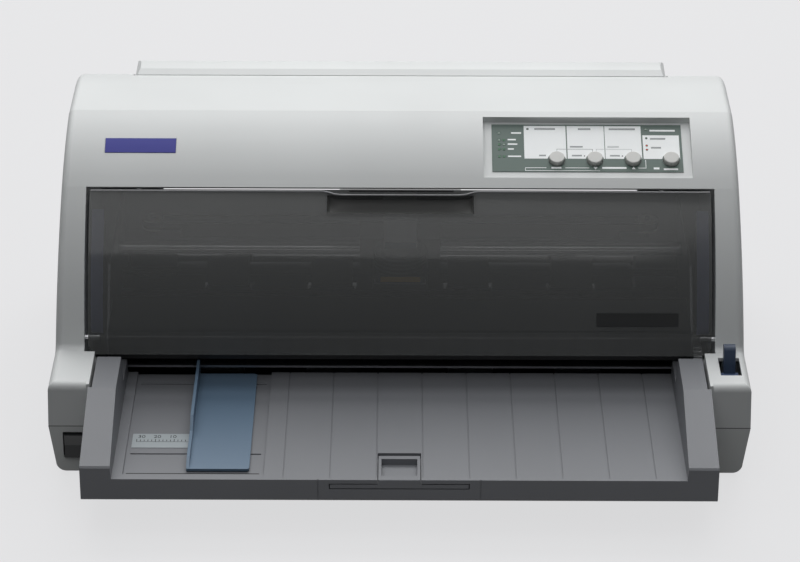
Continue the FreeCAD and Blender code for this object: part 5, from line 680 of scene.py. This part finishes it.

# %% [markdown]
# ## The slot and the step in the tray
# A black strip of painted shade stands for the dark inside of a slot across the tray in front of the
# edge guide, and a low step crosses the tray near the window. The gap behind the finger tab gets black
# painted shade too. All three are thin strips here.

# %% Lay the slot, the step and the gap
SLOT_ENDS = ((-182, -93.4), (-177.0, -173.6), (TRAY_FLOOR_Z, TRAY_FLOOR_Z + 0.05))
STEP_ENDS = ((-181, -93), (-48.9, -47.9), (TRAY_FLOOR_Z, TRAY_FLOOR_Z + 0.25))
GAP_ENDS = ((-13.8, 13.8), (-153.0, -149.7), (38.12, 38.2))
block_piece("tray_slot_shade", [SLOT_ENDS], shade_and_seam_black, "housing")
block_piece("tray_step_edge", [STEP_ENDS], shelf_dark, "housing")
block_piece("tab_notch_shade", [GAP_ENDS], shade_and_seam_black, "extension")
print("slot, step and gap laid")

# %% [markdown]
# ## The face of the window
# The window is a sheet bent to one arc. A point on it is found from the slope of the arc there,
# so anything flat can be bent to the sheet by turning its second coordinate into that slope.

# %% Measure the window's arc
ARC_CENTRE_Y, ARC_CENTRE_Z = 144.326, 15.612
ARC_RADIUS = 211.0
TOP_SLOPE = 44.0
DEGREES_PER_MM = math.degrees(1 / ARC_RADIUS)


def on_window(x, slope, rise=0.0):
    """The point of the window face at that x and slope, that far out of it, in metres."""
    angle = math.radians(slope)
    reach = ARC_RADIUS + rise
    y = ARC_CENTRE_Y - reach * math.sin(angle)
    z = ARC_CENTRE_Z + reach * math.cos(angle)
    return Vector((x, y, z)) * MM


def bend_to_window(shape, x_ends, slope_ends, rise_at):
    """Bends a flat grid of one unit to the window, at a rise that depends on the place."""
    for corner in shape.verts:
        share_x, share_up = corner.co.x + 0.5, corner.co.y + 0.5
        x = x_ends[0] + (x_ends[1] - x_ends[0]) * share_x
        slope = slope_ends[0] + (slope_ends[1] - slope_ends[0]) * share_up
        corner.co = on_window(x, slope, rise_at(share_x, share_up))


def bent_sheet(name, x_ends, slope_ends, rise_at, finish, body, cells=(24, 12), wall=0.3):
    """A thin sheet on the window's arc."""
    sheet = bmesh.new()
    bmesh.ops.create_grid(sheet, x_segments=cells[0], y_segments=cells[1], size=0.5)
    bend_to_window(sheet, x_ends, slope_ends, rise_at)
    bmesh.ops.solidify(sheet, geom=sheet.faces[:], thickness=wall * MM)
    return finish_piece(name, sheet, finish, body)


print("window top:", [round(part / MM, 1) for part in on_window(0, TOP_SLOPE)])

# %% [markdown]
# The finger scoop ramps out from deep under the lip to the face of the window. Its lining is a grid that
# is bent to the arc and then pushed in, most at the top and not at all at the foot and at the two ends,
# which gives it the rounded corners. The lining is an opaque dark grey, so besides its shape its colour
# paints the shade in the scoop.

# %% Line the finger scoop
SCOOP_HEAD = TOP_SLOPE + 4.25 * DEGREES_PER_MM
SCOOP_FOOT = TOP_SLOPE + 16.8 * DEGREES_PER_MM
SCOOP_HALF = 50.7
SCOOP_SKIN = 0.5
SCOOP_DEPTH = 7.6
SCOOP_SQUARENESS = 12


def scoop_rise(share_x, share_up):
    """How far the lining lies under the window's face."""
    side = abs(2 * share_x - 1)
    round_foot = math.sqrt(max(1 - share_up**2, 0))
    round_side = math.sqrt(max(1 - side**SCOOP_SQUARENESS, 0))
    return -SCOOP_SKIN - SCOOP_DEPTH * round_foot * round_side


bent_sheet(
    "scoop_lining", (-SCOOP_HALF, SCOOP_HALF), (SCOOP_HEAD, SCOOP_FOOT), scoop_rise, scoop_shade_plastic,
    "window", cells=(60, 16)
)
print("scoop lined")


# %% [markdown]
# A bead of light runs along the window's top edge, where the plastic is rounded, and follows the lip in
# the middle. A thin tube with a paler finish lies on that line as a painted highlight, and a black one
# is painted shade under the lip.

# %% Run the bead along the top edge
def tube_along(name, points, radius, finish, body):
    """A thin round bead through some points, made a mesh."""
    line = bpy.data.curves.new(name, "CURVE")
    line.dimensions = "3D"
    line.bevel_depth = radius * MM
    line.bevel_resolution = 3
    line.use_fill_caps = True
    run = line.splines.new("POLY")
    run.points.add(len(points) - 1)
    for knot, place in zip(run.points, points):
        knot.co = (*place, 1)
    holder = bpy.data.objects.new(name, line)
    shape = bmesh.new()
    shape.from_mesh(holder.to_mesh())
    bpy.data.objects.remove(holder)
    bpy.data.curves.remove(line)
    return finish_piece(name, shape, finish, body)


BEAD_RADIUS, GRIP_RADIUS = 0.65, 0.75
BEAD_LINE = [
    (215.2, 44.25, -0.2),
    (54, 44.25, -0.2),
    (50, 44.5, 0.2),
    (46, 44.95, 1.2),
    (42.5, 45.15, 2.0),
    (40, 45.2, 2.2),
]
right_half = [on_window(x, slope, rise) for x, slope, rise in BEAD_LINE]
left_half = [on_window(-x, slope, rise) for x, slope, rise in reversed(BEAD_LINE)]
tube_along("window_top_highlight_bead", right_half + left_half, BEAD_RADIUS, painted_edge_highlight, "window")
grip_line = [on_window(x, 44.35, 2.2) for x in (-35.5, 36.9)]
tube_along("window_lip_shade_line", grip_line, GRIP_RADIUS, shade_and_seam_black, "window")
print("bead laid")


# %% Bend the plates beside and on the window
def sunk(depth):
    """A rise that is the same everywhere, under the window's face."""
    return lambda share_x, share_up: -depth


bent_sheet(
    "name_plate_bare", (136.2, 192.8), (69.9, 67.5), sunk(0.3), name_black, "window", wall=0.25
)
for side, x_ends in (("left", (-215.0, -206.5)), ("right", (206.5, 215.0))):
    bent_sheet(
        "window_side_" + side, x_ends, (72.0, 47.0), sunk(11), side_blue, "housing"
    )
print("plates bent")

# %% [markdown]
# ## The print head
# A bare yellow plate marks the hot front of the head, bright rims edge the ribbon mask under it,
# and a blue stiffener ends the flat cable.

# %% Dress the print head
HEAD_PLATE = ((-13.8, 14.4), (15.4, 15.95), (86.6, 90.6))
STIFFENER = ((-11.2, 11.6), (32.0, 32.8), (104.2, 109.6))
PLATE_EDGE = 0.15
block_piece("head_plate_bare", [HEAD_PLATE], plate_yellow, "head_unit", PLATE_EDGE)
block_piece("cable_stiffener", [STIFFENER], blue_moulded, "head_unit", PLATE_EDGE)
RIM_Y = (14.6, 15.3)
RIM_WIDTH, RIM_REACH = 0.7, 3.5
rims = []
for low_z, half in ((85.4, 18.3), (77.0, 19.6)):
    rims.append(((-half, half), RIM_Y, (low_z, low_z + RIM_WIDTH)))
    for x_ends in ((-half, RIM_WIDTH - half), (half - RIM_WIDTH, half)):
        rims.append((x_ends, RIM_Y, (low_z, low_z + RIM_REACH)))
block_piece("ribbon_mask_rims", rims, steel_bright, "head_unit")
print("print head dressed")

# %% [markdown]
# ## The screen in front of the tractors
# Through the window the bay looks dark at the back. A black screen stands across the case in front of
# the tractors, above the way of the sheet, and stops the light from the rear opening. Its black face is
# also painted shade for the dark back of the bay.

# %% Stand the screen
SCREEN_X = (-203.6, 203.6)
SCREEN = [(SCREEN_X, (133.2, 134.4), (58.0, 93.4)), (SCREEN_X, (134.0, 136.4), (57.0, 58.4))]
block_piece("tractor_shade_screen", SCREEN, black_moulded, "housing", 0.2)
print("screen stood")

# %% [markdown]
# ## The foot of the lever
# The lever widens to a paler foot that nearly fills its slot.

# %% Add the lever's foot
LEVER_FOOT = ((220.6, 233.0), (-87.0, -79.6), (63.8, 66.2))
block_piece("lever_foot", [LEVER_FOOT], foot_blue, "lever", 0.5)
print("lever foot added")

# %% [markdown]
# ## The seam of the case
# The two halves of the case meet in a thin dark line. The line is cut out of a copy of the upper
# half: two planes take a thin slice of its wall, and the slice is pushed out by a hair.

# %% Cut the seam line from the case
SEAM_LOW, SEAM_HIGH = 39.02, 39.55
SEAM_RISE = 0.02
WALL_X, WALL_FRONT_Y, WALL_REAR_Y = 234, -104, 183.5
seam = bmesh.new()
seam.from_mesh(nodes["upper_case"].data)
bmesh.ops.remove_doubles(seam, verts=seam.verts, dist=0.001 * MM)
for height, up in ((SEAM_LOW, -1), (SEAM_HIGH, 1)):
    every = seam.verts[:] + seam.edges[:] + seam.faces[:]
    bmesh.ops.bisect_plane(
        seam, geom=every, plane_co=(0, 0, height * MM), plane_no=(0, 0, up), clear_outer=True
    )


def is_outer_wall(face):
    """Whether a strip of the slice lies on the outside of the case."""
    middle = face.calc_center_median() / MM
    outward = abs(middle.x) > WALL_X or middle.y < WALL_FRONT_Y or middle.y > WALL_REAR_Y
    upright = abs(face.normal.z) < 0.5
    return outward and upright and face.normal.dot(middle) > 0


hidden = [face for face in seam.faces if not is_outer_wall(face)]
bmesh.ops.delete(seam, geom=hidden, context="FACES")
bmesh.ops.solidify(seam, geom=seam.faces[:], thickness=-SEAM_RISE * MM)
print("seam faces:", len(seam.faces))
finish_piece("case_seam", seam, shade_and_seam_black, "housing")
